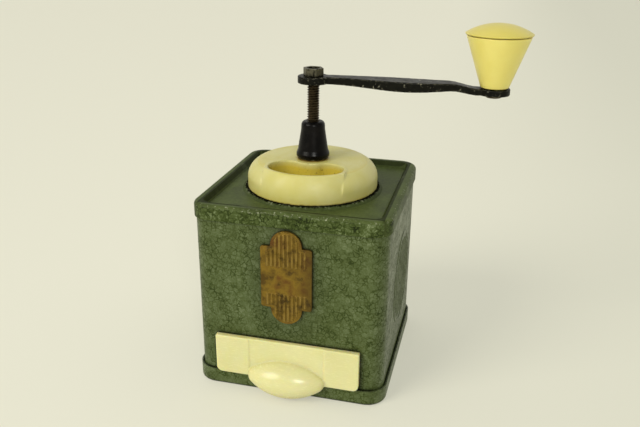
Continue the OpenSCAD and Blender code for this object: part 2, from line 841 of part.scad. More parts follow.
module knob_pin() {
    tail_top = arm_end_z - arm_end_t / 2;
    color(dark_steel)
        at_knob() {
            translate([0, 0, tail_top - pin_tail_h]) {
                cylinder(r = pin_tail_r, h = pin_tail_h);
                cylinder(r = pin_r, h = pin_head_z + pin_head_t - tail_top + pin_tail_h);
            }
            translate([0, 0, pin_head_z]) cylinder(r = pin_head_r, h = pin_head_t);
        }
}

module knob_body() {
    floor_r = knob_foot_r + knob_cone_slope * knob_floor - knob_t;
    color(knob_cream)
        at_knob() translate([0, 0, knob_z])
            difference() {
                cylinder(r1 = knob_foot_r, r2 = knob_rim_r, h = knob_h);
                translate([0, 0, knob_floor])
                    cylinder(r1 = floor_r, r2 = knob_rim_r - knob_t, h = knob_h - knob_floor);
                translate([0, 0, -cut]) cylinder(r = pin_r + run_clear, h = knob_floor + 2 * cut);
            }
}

module knob_cap() {
    spigot_h = knob_t;
    spigot_r = knob_rim_r - knob_t - knob_cone_slope * spigot_h - press_gap;
    color(knob_cream)
        at_knob() translate([0, 0, knob_top])
            rotate_extrude() {
                square([knob_lid_r, knob_cap_edge]);
                translate([0, -spigot_h]) square([spigot_r, spigot_h]);
                translate([0, knob_cap_edge])
                    intersection() {
                        translate([0, knob_cap_rise - knob_cap_sphere_r]) circle(knob_cap_sphere_r);
                        square([knob_lid_r, knob_cap_rise]);
                    }
            }
}

// Places V grooves round a burr, along its leaning face
module grooves(count, r, z, lean, slant, length) {
    for (i = [1:count])
        rotate([0, 0, i * 360 / count]) translate([r, 0, z])
            rotate([0, -lean, 0]) rotate([slant, 0, 0]) rotate([0, 0, 45])
                cube([tooth_depth * sqrt(2), tooth_depth * sqrt(2), length], center = true);
}

module burr_ring() {
    color(cast_grey)
        difference() {
            union() {
                translate([0, 0, ring_bottom]) cylinder(r = ring_r, h = ring_h);
                translate([0, 0, foot_top]) cylinder(r = ring_flange_r, h = ring_flange_t);
            }
            translate([0, 0, ring_bottom]) cylinder(r1 = ring_bottom_r, r2 = ring_top_r, h = ring_h);
            grooves(ring_teeth, (ring_top_r + ring_bottom_r) / 2, (ring_top + ring_bottom) / 2,
                ring_lean, 0, 2 * ring_h);
            bolt_places()
                translate([0, 0, foot_top - cut])
                    cylinder(r = bolt_r + press_gap, h = ring_flange_t + 2 * cut);
        }
}

module burr_cone() {
    color(cast_grey)
        difference() {
            translate([0, 0, cone_bottom]) cylinder(r1 = cone_bottom_r, r2 = cone_top_r, h = cone_h);
            grooves(cone_teeth, (cone_top_r + cone_bottom_r) / 2, (cone_top + cone_bottom) / 2,
                cone_lean, cone_slant, 2 * cone_h);
            translate([0, 0, cone_bottom - cut]) cylinder(r = shaft_bore, h = cone_h + 2 * cut);
        }
}

module burr_lower_nut() {
    color(grey_steel)
        translate([0, 0, burr_nut_z]) hex_nut(burr_nut_af, burr_nut_h);
}

// Spring as one wire: rings of points along a helix, joined by triangles
wire_sides = 6;
turn_rings = 10;
spring_low = collar_top + face_gap + wire_d / 2;
spring_high = bush_low - face_gap - wire_d / 2;
spring_rings = ceil(spring_turns * turn_rings);
spring_pitch = (spring_high - spring_low) / spring_turns;
spring_climb = atan(spring_pitch / (2 * PI * spring_r));
echo(spring_gap_between_turns = spring_pitch * cos(spring_climb) - wire_d);

function spring_point(ring, side) =
    let (a = 360 * spring_turns * ring / spring_rings, s = 360 * side / wire_sides,
        out = wire_d / 2 * cos(s), up = wire_d / 2 * sin(s) * cos(spring_climb),
        back = wire_d / 2 * sin(s) * sin(spring_climb))
    [(spring_r + out) * cos(a) + back * sin(a), (spring_r + out) * sin(a) - back * cos(a),
        spring_low + (spring_high - spring_low) * ring / spring_rings + up];

module burr_spring() {
    points = [for (ring = [0:spring_rings], side = [0:wire_sides - 1]) spring_point(ring, side)];
    walls = [for (ring = [0:spring_rings - 1], side = [0:wire_sides - 1], half = [0, 1])
        let (a = ring * wire_sides + side, b = ring * wire_sides + (side + 1) % wire_sides)
        half == 0 ? [a, a + wire_sides, b] : [b, a + wire_sides, b + wire_sides]];
    last = spring_rings * wire_sides;
    first_end = [for (i = [1:wire_sides - 2]) [0, i, i + 1]];
    last_end = [for (i = [1:wire_sides - 2]) [last, last + i + 1, last + i]];
    color(grey_steel) polyhedron(points, concat(walls, first_end, last_end));
}

module lower_bridge() {
    foot_out = bolt_x + bolt_head_r;
    color(cast_grey)
        difference() {
            union() {
                translate([0, bridge_w / 2, 0]) rotate([90, 0, 0]) linear_extrude(bridge_w) {
                    translate([-leg_x - bridge_t, bridge_low]) square([2 * (leg_x + bridge_t), bridge_t]);
                    for (s = [0, 1])
                        mirror([s, 0]) {
                            translate([leg_x, bridge_low]) square([bridge_t, foot_top - bridge_low]);
                            translate([leg_x, foot_low]) square([foot_out - leg_x, bridge_t]);
                        }
                }
                translate([0, 0, lower_bush_top - lower_bush_h])
                    cylinder(r = lower_bush_r + bridge_t, h = lower_bush_h - washer_t);
            }
            translate([0, 0, bridge_low - lower_bush_h])
                cylinder(r = lower_bush_r + run_clear, h = 3 * lower_bush_h);
            bolt_places()
                translate([0, 0, foot_low - cut]) cylinder(r = bolt_r + press_gap, h = bridge_t + 2 * cut);
        }
}

module lower_bush() {
    low = lower_bush_top - lower_bush_h;
    flange_z = lower_bush_top - washer_t;
    color(brass)
        rotate_extrude()
            polygon([[shaft_bore, low], [lower_bush_r, low], [lower_bush_r, flange_z],
                [lower_bush_r + bridge_t / 2, flange_z], [lower_bush_r + bridge_t / 2, lower_bush_top],
                [shaft_bore, lower_bush_top]]);
}

module burr_bolts() {
    head_z = bowl_bottom + sheet;
    color(grey_steel)
        bolt_places() {
            translate([0, 0, head_z]) cylinder(r = bolt_head_r, h = bolt_head_h);
            translate([0, 0, bolt_low]) cylinder(r = bolt_r, h = head_z - bolt_low);
        }
}

module burr_bolt_nuts() {
    color(grey_steel)
        bolt_places()
            translate([0, 0, foot_low - bolt_head_h])
                difference() {
                    cylinder(r = bolt_head_r, h = bolt_head_h, $fn = 6);
                    translate([0, 0, -cut])
                        cylinder(r = bolt_r + run_clear, h = bolt_head_h + 2 * cut, $fn = 48);
                }
}

// Outline of the drawer's front: small radius above, larger below
module front_outline() {
    for (s = [0, 1])
        mirror([s, 0]) {
            translate([0, front_low_r]) square([front_w / 2, front_h - front_low_r - front_top_r]);
            square([front_w / 2 - front_low_r, front_low_r]);
            translate([0, front_h - front_top_r]) square([front_w / 2 - front_top_r, front_top_r]);
            translate([front_w / 2 - front_low_r, front_low_r]) circle(front_low_r);
            translate([front_w / 2 - front_top_r, front_h - front_top_r]) circle(front_top_r);
        }
}

// Pointed pull, a turned shape lying along X
module pull() {
    rotate([0, 90, 0])
        rotate_extrude() {
            intersection() {
                translate([-pull_sink, 0]) circle(pull_arc_r, $fn = 180);
                translate([0, -pull_turn_at]) square([pull_r, 2 * pull_turn_at]);
            }
            intersection() {
                for (s = [-1, 1])
                    translate([0, s * pull_end_at]) circle(pull_end_r + mouth_bulge);
                translate([0, -pull_l]) square([pull_l, 2 * pull_l]);
            }
        }
}

module drawer_front() {
    color(cream)
        difference() {
            union() {
                difference() {
                    translate([0, front_back_y, front_z]) rotate([90, 0, 0])
                        linear_extrude(front_t) front_outline();
                    translate([-field_w / 2, front_face_y - cut, front_z - cut])
                        cube([field_w, cut + field_depth, front_h + 2 * cut]);
                }
                intersection() {
                    translate([0, front_face_y + field_depth, pull_z]) pull();
                    translate([-pull_l, pull_back_y - 2 * pull_l, 0])
                        cube([2 * pull_l, 2 * pull_l, 2 * pull_l]);
                }
            }
            drawer_screw_places()
                cylinder(r = drawer_screw_r + run_clear, h = front_t - sheet);
        }
}

// Moves to the back of the drawer's front, with Z pointing to the front
module drawer_screw_places() {
    for (s = [-1, 1])
        translate([s * drawer_screw_x, front_back_y, drawer_screw_z]) rotate([90, 0, 0]) children();
}

module drawer_tray() {
    color(grey_steel)
        difference() {
            translate([-tray_w / 2, front_back_y, tray_z]) cube([tray_w, tray_l, tray_h]);
            translate([-tray_w / 2 + tray_t, front_back_y + tray_t, tray_z + tray_t])
                cube([tray_w - 2 * tray_t, tray_l - 2 * tray_t, tray_h]);
            drawer_screw_places()
                translate([0, 0, -tray_t - cut])
                    cylinder(r = drawer_screw_r + press_gap, h = tray_t + 2 * cut);
        }
}

module drawer_screws() {
    color(grey_steel)
        drawer_screw_places() {
            translate([0, 0, -tray_t]) cylinder(r = drawer_screw_r, h = tray_t + front_t - 2 * sheet);
            translate([0, 0, -tray_t - drawer_screw_r]) cylinder(r = drawer_screw_head_r, h = drawer_screw_r);
        }
}

module drawer_rails() {
    length = tray_back_y - rail_front_y;
    color(grey_steel)
        translate([0, rail_front_y + length, 0]) rotate([90, 0, 0]) linear_extrude(length)
            for (s = [0, 1])
                mirror([s, 0]) {
                    translate([rail_x, sheet]) square([sheet, rail_top + rail_guide_h - sheet]);
                    translate([rail_x - rail_shelf_w, rail_top - sheet])
                        square([rail_shelf_w + sheet, sheet]);
                    translate([rail_x, sheet]) square([rail_foot_w, sheet]);
                }
}

base_plate();
body_shell();
top_cap();
badge();
hopper_dome();
dome_screws();
hopper_bowl();
upper_bush();
key_washer();
adjusting_nut();
nut_insert();
shaft();
crank_arm();
crank_nut();
knob_pin();
knob_body();
knob_cap();
burr_ring();
burr_cone();
burr_lower_nut();
burr_spring();
lower_bridge();
lower_bush();
burr_bolts();
burr_bolt_nuts();
drawer_front();
drawer_tray();
drawer_screws();
drawer_rails();
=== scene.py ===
import json
import math

import bpy
from mathutils import Matrix, Vector


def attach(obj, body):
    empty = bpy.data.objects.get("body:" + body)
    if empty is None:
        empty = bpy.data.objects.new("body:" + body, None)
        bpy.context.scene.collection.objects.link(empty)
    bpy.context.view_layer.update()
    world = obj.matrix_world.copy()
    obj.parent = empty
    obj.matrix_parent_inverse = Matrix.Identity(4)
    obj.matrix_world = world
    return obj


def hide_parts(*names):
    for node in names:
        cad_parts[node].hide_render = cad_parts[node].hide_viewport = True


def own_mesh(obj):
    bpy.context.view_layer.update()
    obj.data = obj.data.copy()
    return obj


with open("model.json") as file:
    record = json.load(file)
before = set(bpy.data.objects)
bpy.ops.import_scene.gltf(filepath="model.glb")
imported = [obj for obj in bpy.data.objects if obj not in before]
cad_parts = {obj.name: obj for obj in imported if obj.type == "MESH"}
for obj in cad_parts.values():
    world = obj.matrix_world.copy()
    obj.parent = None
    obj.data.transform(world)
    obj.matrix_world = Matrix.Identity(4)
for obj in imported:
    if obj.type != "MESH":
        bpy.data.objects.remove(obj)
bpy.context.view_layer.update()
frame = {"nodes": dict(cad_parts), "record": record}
nodes = frame["nodes"]
mm = 0.001
weld = 1e-6  # vertices closer than this, in metres, are one


def linear(hexColour):  # sRGB hex to linear RGBA
    parts = [int(hexColour[i:i + 2], 16) / 255 for i in (1, 3, 5)]
    return [c / 12.92 if c <= 0.04045 else ((c + 0.055) / 1.055) ** 2.4 for c in parts] + [1]


def perMm(size):  # texture scale for a pattern that repeats every so many millimetres
    return 1 / (size * mm)


def addNode(tree, kind, sockets=None, stops=None, **settings):
    node = tree.nodes.new("ShaderNode" + kind)
    for key, value in settings.items():
        setattr(node, key, value)
    for key, value in (sockets or {}).items():
        if isinstance(value, bpy.types.Node):  # a node stands for its first output
            value = value.outputs[0]
        if isinstance(value, bpy.types.NodeSocket):
            tree.links.new(value, node.inputs[key])
        else:
            node.inputs[key].default_value = value
    if stops:
        ramp = node.color_ramp
        ramp.elements[0].position, ramp.elements[1].position = stops[0][0], stops[-1][0]
        while len(ramp.elements) < len(stops):
            ramp.elements.new(stops[len(ramp.elements) - 1][0])
        for element, (place, shade) in zip(ramp.elements, stops):
            element.position = place
            element.color = linear(shade)
    return node


def startMaterial(name, roughness, ior=1.5, metallic=0.0):
    material = bpy.data.materials.new(name)
    material.use_nodes = True
    tree = material.node_tree
    shader = tree.nodes["Principled BSDF"]
    shader.inputs["Roughness"].default_value = roughness
    shader.inputs["Metallic"].default_value = metallic
    if not metallic:
        shader.inputs["IOR"].default_value = ior
    place = addNode(tree, "TexCoord").outputs["Object"]
    return material, tree, shader, place


# Gives a shader its colour, a roughness that follows a pattern over a span, and a relief of a strength
# and a depth in millimetres
def dressShader(tree, shader, colour, pattern, span, rough, height=None, relief=(0, 0)):
    tree.links.new(colour, shader.inputs["Base Color"])
    gloss = addNode(tree, "MapRange", {"Value": pattern, "From Min": span[0], "From Max": span[1],
                                       "To Min": rough[0], "To Max": rough[1]})
    tree.links.new(gloss.outputs[0], shader.inputs["Roughness"])
    if height is not None:
        bump = addNode(tree, "Bump", {"Height": height, "Strength": relief[0], "Distance": relief[1] * mm})
        tree.links.new(bump.outputs[0], shader.inputs["Normal"])


# Hammertone stoving enamel on pressed steel: the paint pulls into pale, half glossy cells about 2 mm
# across with thin dull dark seams between them, and is chipped to dark steel along the edges.
# Sizes are in millimetres, and shares run from 0 to 1.
hammerPaint = {
    "cell": 2.3, "fineCell": 0.8, "cloud": 9, "wobble": 2.0, "wobbleReach": 2.2,
    "seamWidth": 0.15, "seamDepth": -0.34, "baseTone": 0.1,
    "fineShare": 0.46, "cellShare": 0.12, "cloudShare": 0.35,
    "net": "#2a3511", "low": "#404c22", "high": "#4f5c34", "glint": "#66724e",
    "chip": 1.7, "chipEdge": 0.9, "chipFrom": 0.42, "chipFade": 0.08, "steel": "#2a2a22",
    "sideMiddle": 47, "sideReach": 36,
    "shadeAndGrime": "#0e1206", "shadeAndGrimeMm": 3, "shadeAndGrimeShare": 0.95,
    "plaqueZ": 66.5, "plaqueFade": (55, 0, 30), "haloShare": 0.2,
    "rubAndSheen": "#8b9474", "beadReach": 38, "beadFade": 2, "beadSheen": 0.7,
    "toneSpan": (0.3, 0.8), "rough": (0.5, 0.27), "shine": (0.15, 0.5), "meanShine": 0.3,
    "relief": (0.22, 0.25)}


# Tone of the hammertone's cells, 0 in the seams to 1 on a bright cell
def hammerTone(tree, place, paint):
    wobble = addNode(tree, "TexNoise", {"Vector": place, "Scale": perMm(paint["wobble"]), "Detail": 3})
    push = paint["wobbleReach"] * mm
    bent = addNode(tree, "VectorMath", {0: wobble.outputs["Color"], 1: (push, push, push)},
                   operation="MULTIPLY")
    where = addNode(tree, "VectorMath", {0: place, 1: bent}, operation="ADD").outputs[0]
    scale = perMm(paint["cell"])
    cells = addNode(tree, "TexVoronoi", {"Vector": where, "Scale": scale}, feature="F1")
    seams = addNode(tree, "TexVoronoi", {"Vector": where, "Scale": scale}, feature="DISTANCE_TO_EDGE")
    fine = addNode(tree, "TexNoise", {"Vector": place, "Scale": perMm(paint["fineCell"]), "Detail": 3})
    cloud = addNode(tree, "TexNoise", {"Vector": place, "Scale": perMm(paint["cloud"]), "Detail": 3})
    random = addNode(tree, "SeparateColor", {"Color": cells.outputs["Color"]})
    line = addNode(tree, "MapRange", {"Value": seams.outputs["Distance"], "From Min": paint["seamWidth"],
                                      "From Max": 0}, interpolation_type="SMOOTHSTEP")
    # the seams are deep in some patches and almost closed in others
    patch = addNode(tree, "TexNoise", {"Vector": place, "Scale": perMm(2 * paint["cell"]), "Detail": 2})
    deep = addNode(tree, "MapRange", {"Value": patch, "From Min": 0.35, "From Max": 0.65,
                                      "To Max": paint["seamDepth"]})
    seam = addNode(tree, "Math", {0: line, 1: deep, 2: paint["baseTone"]}, operation="MULTIPLY_ADD")
    fleck = addNode(tree, "Math", {0: fine, 1: paint["fineShare"], 2: seam}, operation="MULTIPLY_ADD")
    lift = addNode(tree, "Math", {0: random, 1: paint["cellShare"], 2: fleck}, operation="MULTIPLY_ADD")
    tone = addNode(tree, "Math", {0: cloud, 1: paint["cloudShare"], 2: lift}, operation="MULTIPLY_ADD")
    return tone.outputs[0]


def hammerColour(tree, tone, paint):
    stops = [(0.2, paint["net"]), (0.44, paint["low"]), (0.6, paint["high"]), (0.78, paint["glint"])]
    return addNode(tree, "ValToRGB", {"Fac": tone}, stops).outputs[0]


# How far a surface turns within a radius, 0 on flats to 1 on sharp edges
def edgeMask(tree, radius, least, most):
    soft = addNode(tree, "Bevel", {"Radius": radius * mm}, samples=4)
    flat = addNode(tree, "NewGeometry")
    turn = addNode(tree, "VectorMath", {0: soft, 1: flat.outputs["Normal"]}, operation="DOT_PRODUCT")
    mask = addNode(tree, "MapRange", {"Value": turn.outputs["Value"], "From Min": least, "From Max": most})
    return mask.outputs[0]


def hammertoneEnamel(name, paint):
    material, tree, shader, place = startMaterial(name, 0.42)
    tone = hammerTone(tree, place, paint)
    chipNoise = addNode(tree, "TexNoise", {"Vector": place, "Scale": perMm(paint["chip"]), "Detail": 5,
                                           "Roughness": 0.65})
    edges = edgeMask(tree, paint["chipEdge"], 0.97, 0.8)
    chips = addNode(tree, "Math", {0: edges, 1: chipNoise}, operation="MULTIPLY")
    bareAndShade = addNode(tree, "MapRange", {"Value": chips, "From Min": paint["chipFrom"],
                                      "From Max": paint["chipFrom"] + paint["chipFade"]})
    # only the pressings' upper and lower edges are knocked, not the beads in the middle of the sides
    height = addNode(tree, "SeparateXYZ", {0: place})
    middle = addNode(tree, "Math", {0: height.outputs["Z"], 1: paint["sideMiddle"] * mm,
                                    2: paint["sideReach"] * mm}, operation="COMPARE")
    knocked = addNode(tree, "Math", {0: bareAndShade, 1: middle}, operation="SUBTRACT", use_clamp=True)
    worn = addNode(tree, "Mix", {0: knocked, 6: hammerColour(tree, tone, paint),
                                 7: linear(paint["steel"])}, data_type="RGBA")
    # painted shade, with some grimy soiling, in the corners beside the plaque, the drawer and the flange
    hollow = addNode(tree, "AmbientOcclusion", {"Distance": paint["shadeAndGrimeMm"] * mm}, samples=6)
    dirtAndShade = addNode(tree, "MapRange", {"Value": hollow.outputs["AO"], "From Min": 0.85, "From Max": 0.5,
                                      "To Max": paint["shadeAndGrimeShare"]})
    facing = addNode(tree, "NewGeometry")
    turned = addNode(tree, "VectorMath", {0: facing.outputs["Normal"]}, operation="ABSOLUTE")
    sideways = addNode(tree, "SeparateXYZ", {0: turned})
    frontOnly = addNode(tree, "MapRange", {"Value": sideways.outputs["X"], "From Min": 0.85, "From Max": 0.4})
    # and the paint is darker round the plaque
    offset = addNode(tree, "VectorMath", {0: place, 1: (0, 0, -paint["plaqueZ"] * mm)}, operation="ADD")
    share = addNode(tree, "VectorMath", {0: offset, 1: paint["plaqueFade"]}, operation="MULTIPLY")
    span = addNode(tree, "VectorMath", {0: share}, operation="LENGTH")
    halo = addNode(tree, "MapRange", {"Value": span.outputs["Value"], "From Min": 1.4, "From Max": 0.8,
                                      "To Max": paint["haloShare"]}, interpolation_type="SMOOTHSTEP")
    # painted shade in the corners and the darker paint round the plaque, kept off the left and right sides
    shadeAndSoil = addNode(tree, "Math", {0: dirtAndShade, 1: halo}, operation="MAXIMUM")
    frontShadeAndSoil = addNode(tree, "Math", {0: shadeAndSoil, 1: frontOnly}, operation="MULTIPLY")
    dirtyAndShaded = addNode(tree, "Mix", {0: frontShadeAndSoil, 6: worn.outputs[2], 7: linear(paint["shadeAndGrime"])},
                    data_type="RGBA")
    # painted reflection: the flanks of the side beads are painted paler
    mirrored = addNode(tree, "VectorMath", {0: place}, operation="ABSOLUTE")
    plan = addNode(tree, "SeparateXYZ", {0: mirrored})
    between = addNode(tree, "MapRange", {"Value": plan.outputs["Y"], "From Min": paint["beadReach"] * mm,
                                         "From Max": (paint["beadReach"] - paint["beadFade"]) * mm,
                                         "To Max": paint["beadSheen"]})
    tilt = addNode(tree, "MapRange", {"Value": sideways.outputs["X"], "From Min": 0.985, "From Max": 0.9})
    flank = addNode(tree, "MapRange", {"Value": sideways.outputs["X"], "From Min": 0.3, "From Max": 0.5})
    beads = addNode(tree, "Math", {0: tilt, 1: flank}, operation="MULTIPLY")
    sheenOnBeads = addNode(tree, "Math", {0: beads, 1: between}, operation="MULTIPLY")
    # the paler bead flanks are a painted reflection
    rubbedAndSheen = addNode(tree, "Mix", {0: sheenOnBeads, 6: dirtyAndShaded.outputs[2], 7: linear(paint["rubAndSheen"])},
                     data_type="RGBA")
    low, high = paint["toneSpan"]
    shine = addNode(tree, "MapRange", {"Value": tone, "From Min": low, "From Max": high,
                                       "To Min": paint["shine"][0], "To Max": paint["shine"][1]})
    shader.inputs["Specular IOR Level"].default_value = paint["meanShine"]  # set to the mean too, in case the link is dropped
    tree.links.new(shine.outputs[0], shader.inputs["Specular IOR Level"])
    dressShader(tree, shader, rubbedAndSheen.outputs[2], tone, (low, high), paint["rough"], tone, paint["relief"])
    return material


# The same enamel on the pressed cap: hammertone on the skirt, but flowed smooth, duller and darker on
# top, flecked pale along the outer rounding, black where the dome's foot has chipped it through, with
# painted shade round that foot, and darkened by painted shade and grimy soiling in the corners and on the
# rim's inner slope.
skirtPaint = dict(hammerPaint, net="#141c06", low="#344017", high="#4a572e", glint="#7f8b66")
capPaint = {
    "grain": 1.4, "grainShare": 0.3, "cloud": 14, "chip": 1.3,
    "deep": "#38421e", "mid": "#455127", "pale": "#546134", "rubAndSheen": "#8d9277", "steel": "#101109",
    "outerHalf": 49.95, "skirtFrom": 2, "topFrom": 3,
    "footRing": 35.3, "ringWidth": 1.4, "ringShare": 0.44, "shadeAndGrimeMm": 2.5, "shadeAndGrimeShare": 1.0,
    "slopeShare": 0.5, "rimEdge": 45.2, "rimLine": 1.35, "lineShare": 0.66,
    "shine": 0.12, "meanShine": 0.1, "rough": (0.4, 0.6), "chipDepth": -0.8}


def capEnamel(name, paint, skirt):
    material, tree, shader, place = startMaterial(name, 0.45)
    tone = hammerTone(tree, place, skirt)
    grain = addNode(tree, "TexVoronoi", {"Vector": place, "Scale": perMm(paint["grain"])},
                    feature="SMOOTH_F1")
    cloud = addNode(tree, "TexNoise", {"Vector": place, "Scale": perMm(paint["cloud"]), "Detail": 5})
    dull = addNode(tree, "Math", {0: grain.outputs["Distance"], 1: paint["grainShare"], 2: cloud},
                   operation="MULTIPLY_ADD")
    topColour = addNode(tree, "ValToRGB", {"Fac": dull},
                        [(0.42, paint["deep"]), (0.62, paint["mid"]), (0.9, paint["pale"])])
    flat = addNode(tree, "NewGeometry")
    upward = addNode(tree, "SeparateXYZ", {0: flat.outputs["Normal"]})
    level = addNode(tree, "MapRange", {"Value": upward.outputs["Z"], "From Min": 0.35, "From Max": 0.55})
    mirrored = addNode(tree, "VectorMath", {0: place}, operation="ABSOLUTE")
    plan = addNode(tree, "SeparateXYZ", {0: mirrored})
    outward = addNode(tree, "Math", {0: plan.outputs["X"], 1: plan.outputs["Y"]}, operation="MAXIMUM")
    inside = addNode(tree, "MapRange", {"Value": outward,
                                        "From Min": (paint["outerHalf"] - paint["skirtFrom"]) * mm,
                                        "From Max": (paint["outerHalf"] - paint["topFrom"]) * mm})
    onTop = addNode(tree, "Math", {0: level, 1: inside}, operation="MAXIMUM")
    skirtColour = hammerColour(tree, tone, skirt)
    colour = addNode(tree, "Mix", {0: onTop, 6: skirtColour, 7: topColour}, data_type="RGBA")
    chipNoise = addNode(tree, "TexNoise", {"Vector": place, "Scale": perMm(paint["chip"]), "Detail": 6,
                                           "Roughness": 0.7})
    # pale flecks where the outer rounding has been knocked
    bend = addNode(tree, "MapRange", {"Value": upward.outputs["Z"], "From Min": 0.1, "From Max": 0.3})
    bent = addNode(tree, "MapRange", {"Value": upward.outputs["Z"], "From Min": 0.99, "From Max": 0.9})
    fleck = addNode(tree, "MapRange", {"Value": chipNoise, "From Min": 0.57, "From Max": 0.63})
    rounding = addNode(tree, "Math", {0: bend, 1: bent}, operation="MULTIPLY")
    outside = addNode(tree, "Math", {0: 1.0, 1: inside}, operation="SUBTRACT")
    knocked = addNode(tree, "Math", {0: rounding, 1: outside}, operation="MULTIPLY")
    rubbedAndSheen = addNode(tree, "Math", {0: knocked, 1: fleck}, operation="MULTIPLY")
    # a dark ring round the dome's foot, partly chipped paint with pale nicks and partly painted shade, and
    # dark specks over the panel
    flatPlace = addNode(tree, "VectorMath", {0: place, 1: (1, 1, 0)}, operation="MULTIPLY")
    reach = addNode(tree, "VectorMath", {0: flatPlace}, operation="LENGTH")
    away = addNode(tree, "Math", {0: reach.outputs["Value"], 1: paint["footRing"] * mm}, operation="SUBTRACT")
    near = addNode(tree, "MapRange", {"Value": away, "From Min": paint["ringWidth"] * mm, "From Max": 0})
    nicks = addNode(tree, "MapRange", {"Value": chipNoise, "From Min": 0.45, "From Max": 0.38})
    nicked = addNode(tree, "Math", {0: near, 1: nicks}, operation="MULTIPLY")
    flecks = addNode(tree, "Math", {0: nicked, 1: rubbedAndSheen}, operation="MAXIMUM")
    pale = addNode(tree, "Mix", {0: flecks, 6: colour.outputs[2], 7: linear(paint["rubAndSheen"])},
                   data_type="RGBA")
    ring = addNode(tree, "Math", {0: near, 1: paint["ringShare"], 2: chipNoise}, operation="MULTIPLY_ADD")
    bareAndShade = addNode(tree, "MapRange", {"Value": ring, "From Min": 0.78, "From Max": 0.86})
    # painted shade, with grimy soiling, along the foot of the rim and in the other corners
    hollow = addNode(tree, "AmbientOcclusion", {"Distance": paint["shadeAndGrimeMm"] * mm}, samples=6)
    shadeAndGrime = addNode(tree, "MapRange", {"Value": hollow.outputs["AO"], "From Min": 0.76, "From Max": 0.48,
                                       "To Max": paint["shadeAndGrimeShare"]})
    # painted shade and grimy soiling on the rim's inner slope, darker where it tilts
    tilted = addNode(tree, "MapRange", {"Value": upward.outputs["Z"], "From Min": 0.99, "From Max": 0.75,
                                        "To Max": paint["slopeShare"]})
    smear = addNode(tree, "MapRange", {"Value": cloud, "From Min": 0.35, "From Max": 0.65})
    shadedDirtySlope = addNode(tree, "Math", {0: tilted, 1: smear}, operation="MULTIPLY")
    slope = addNode(tree, "Math", {0: shadedDirtySlope, 1: inside}, operation="MULTIPLY")
    # a dark band, broken in places, along the rim's inner edge
    line = addNode(tree, "Math", {0: outward, 1: paint["rimEdge"] * mm, 2: paint["rimLine"] * mm},
                   operation="COMPARE")
    broken = addNode(tree, "MapRange", {"Value": cloud, "From Min": 0.3, "From Max": 0.46,
                                        "To Max": paint["lineShare"]})
    edge = addNode(tree, "Math", {0: line, 1: broken}, operation="MULTIPLY")
    # the ring, the corners, the slope and the rim's edge band all take the dark steel colour, as chipped
    # paint, grime and painted shade
    shadeAndSoil = addNode(tree, "Math", {0: slope, 1: edge}, operation="MAXIMUM")
    dirtAndShade = addNode(tree, "Math", {0: shadeAndSoil, 1: shadeAndGrime}, operation="MAXIMUM")
    dark = addNode(tree, "Math", {0: bareAndShade, 1: dirtAndShade}, operation="MAXIMUM")
    chipped = addNode(tree, "Mix", {0: dark, 6: pale.outputs[2], 7: linear(paint["steel"])},
                      data_type="RGBA")
    shine = addNode(tree, "MapRange", {"Value": dark, "To Min": paint["shine"], "To Max": 0.0})
    shader.inputs["Specular IOR Level"].default_value = paint["meanShine"]  # set to the mean too, in case the link is dropped
    tree.links.new(shine.outputs[0], shader.inputs["Specular IOR Level"])
    cells = addNode(tree, "Mix", {0: onTop, 2: tone, 3: 0.5})
    height = addNode(tree, "Math", {0: bareAndShade, 1: paint["chipDepth"], 2: cells}, operation="MULTIPLY_ADD")
    dressShader(tree, shader, chipped.outputs[2], cloud, (0, 1), paint["rough"], height, skirt["relief"])
    return material


# Compression-moulded urea plastic, once ivory: it has yellowed unevenly, with painted shade and deeper
# yellowing in its hollows, holds brown grease and painted shade in its corners and fine dark scratches, and
# shines softly with a little light going in.
# The mouldings share these values, and only the dome has a bean mouth.
ureaBase = {"cloud": 22, "speckMm": 1.1, "scratchMm": 3, "lipMm": 0.9, "sidePaling": 0, "sidePalingReach": 30,
            "hollowMm": 8, "hollowShare": 0.5, "greaseShadeMm": 2.5, "greaseShadeShare": 0.7,
            "mouthReach": 0, "mouthTop": 0, "mouthShare": 0, "lipShare": 0.75,
            "reliefShare": 0.25, "reliefMm": 0.1}
domeUrea = dict(ureaBase, pale="#cac583", deep="#bdb54f", hollow="#c0aa2c", greaseAndShade="#54390c",
                hollowMm=9, hollowShare=0.35, speck=0.5, shine=0.36, scuff=0.18, glow=0.15, sidePaling=0.2,
                mouthReach=29, mouthTop=112, mouthShare=0.9)
drawerUrea = dict(ureaBase, pale="#dbd8a5", deep="#d4d198", hollow="#c9bd74", greaseAndShade="#6b4f16",
                  speck=0.25, shine=0.25, scuff=0.04, glow=0.7)
knobUrea = dict(ureaBase, pale="#e9de83", deep="#dfd26f", hollow="#cbb64c", greaseAndShade="#8a6a22",
                greaseShadeMm=1.5, greaseShadeShare=0.25, speck=0.6, shine=0.3, scuff=0.12, glow=0.15)
lidUrea = dict(knobUrea, pale="#d2c766", deep="#c8bb54")


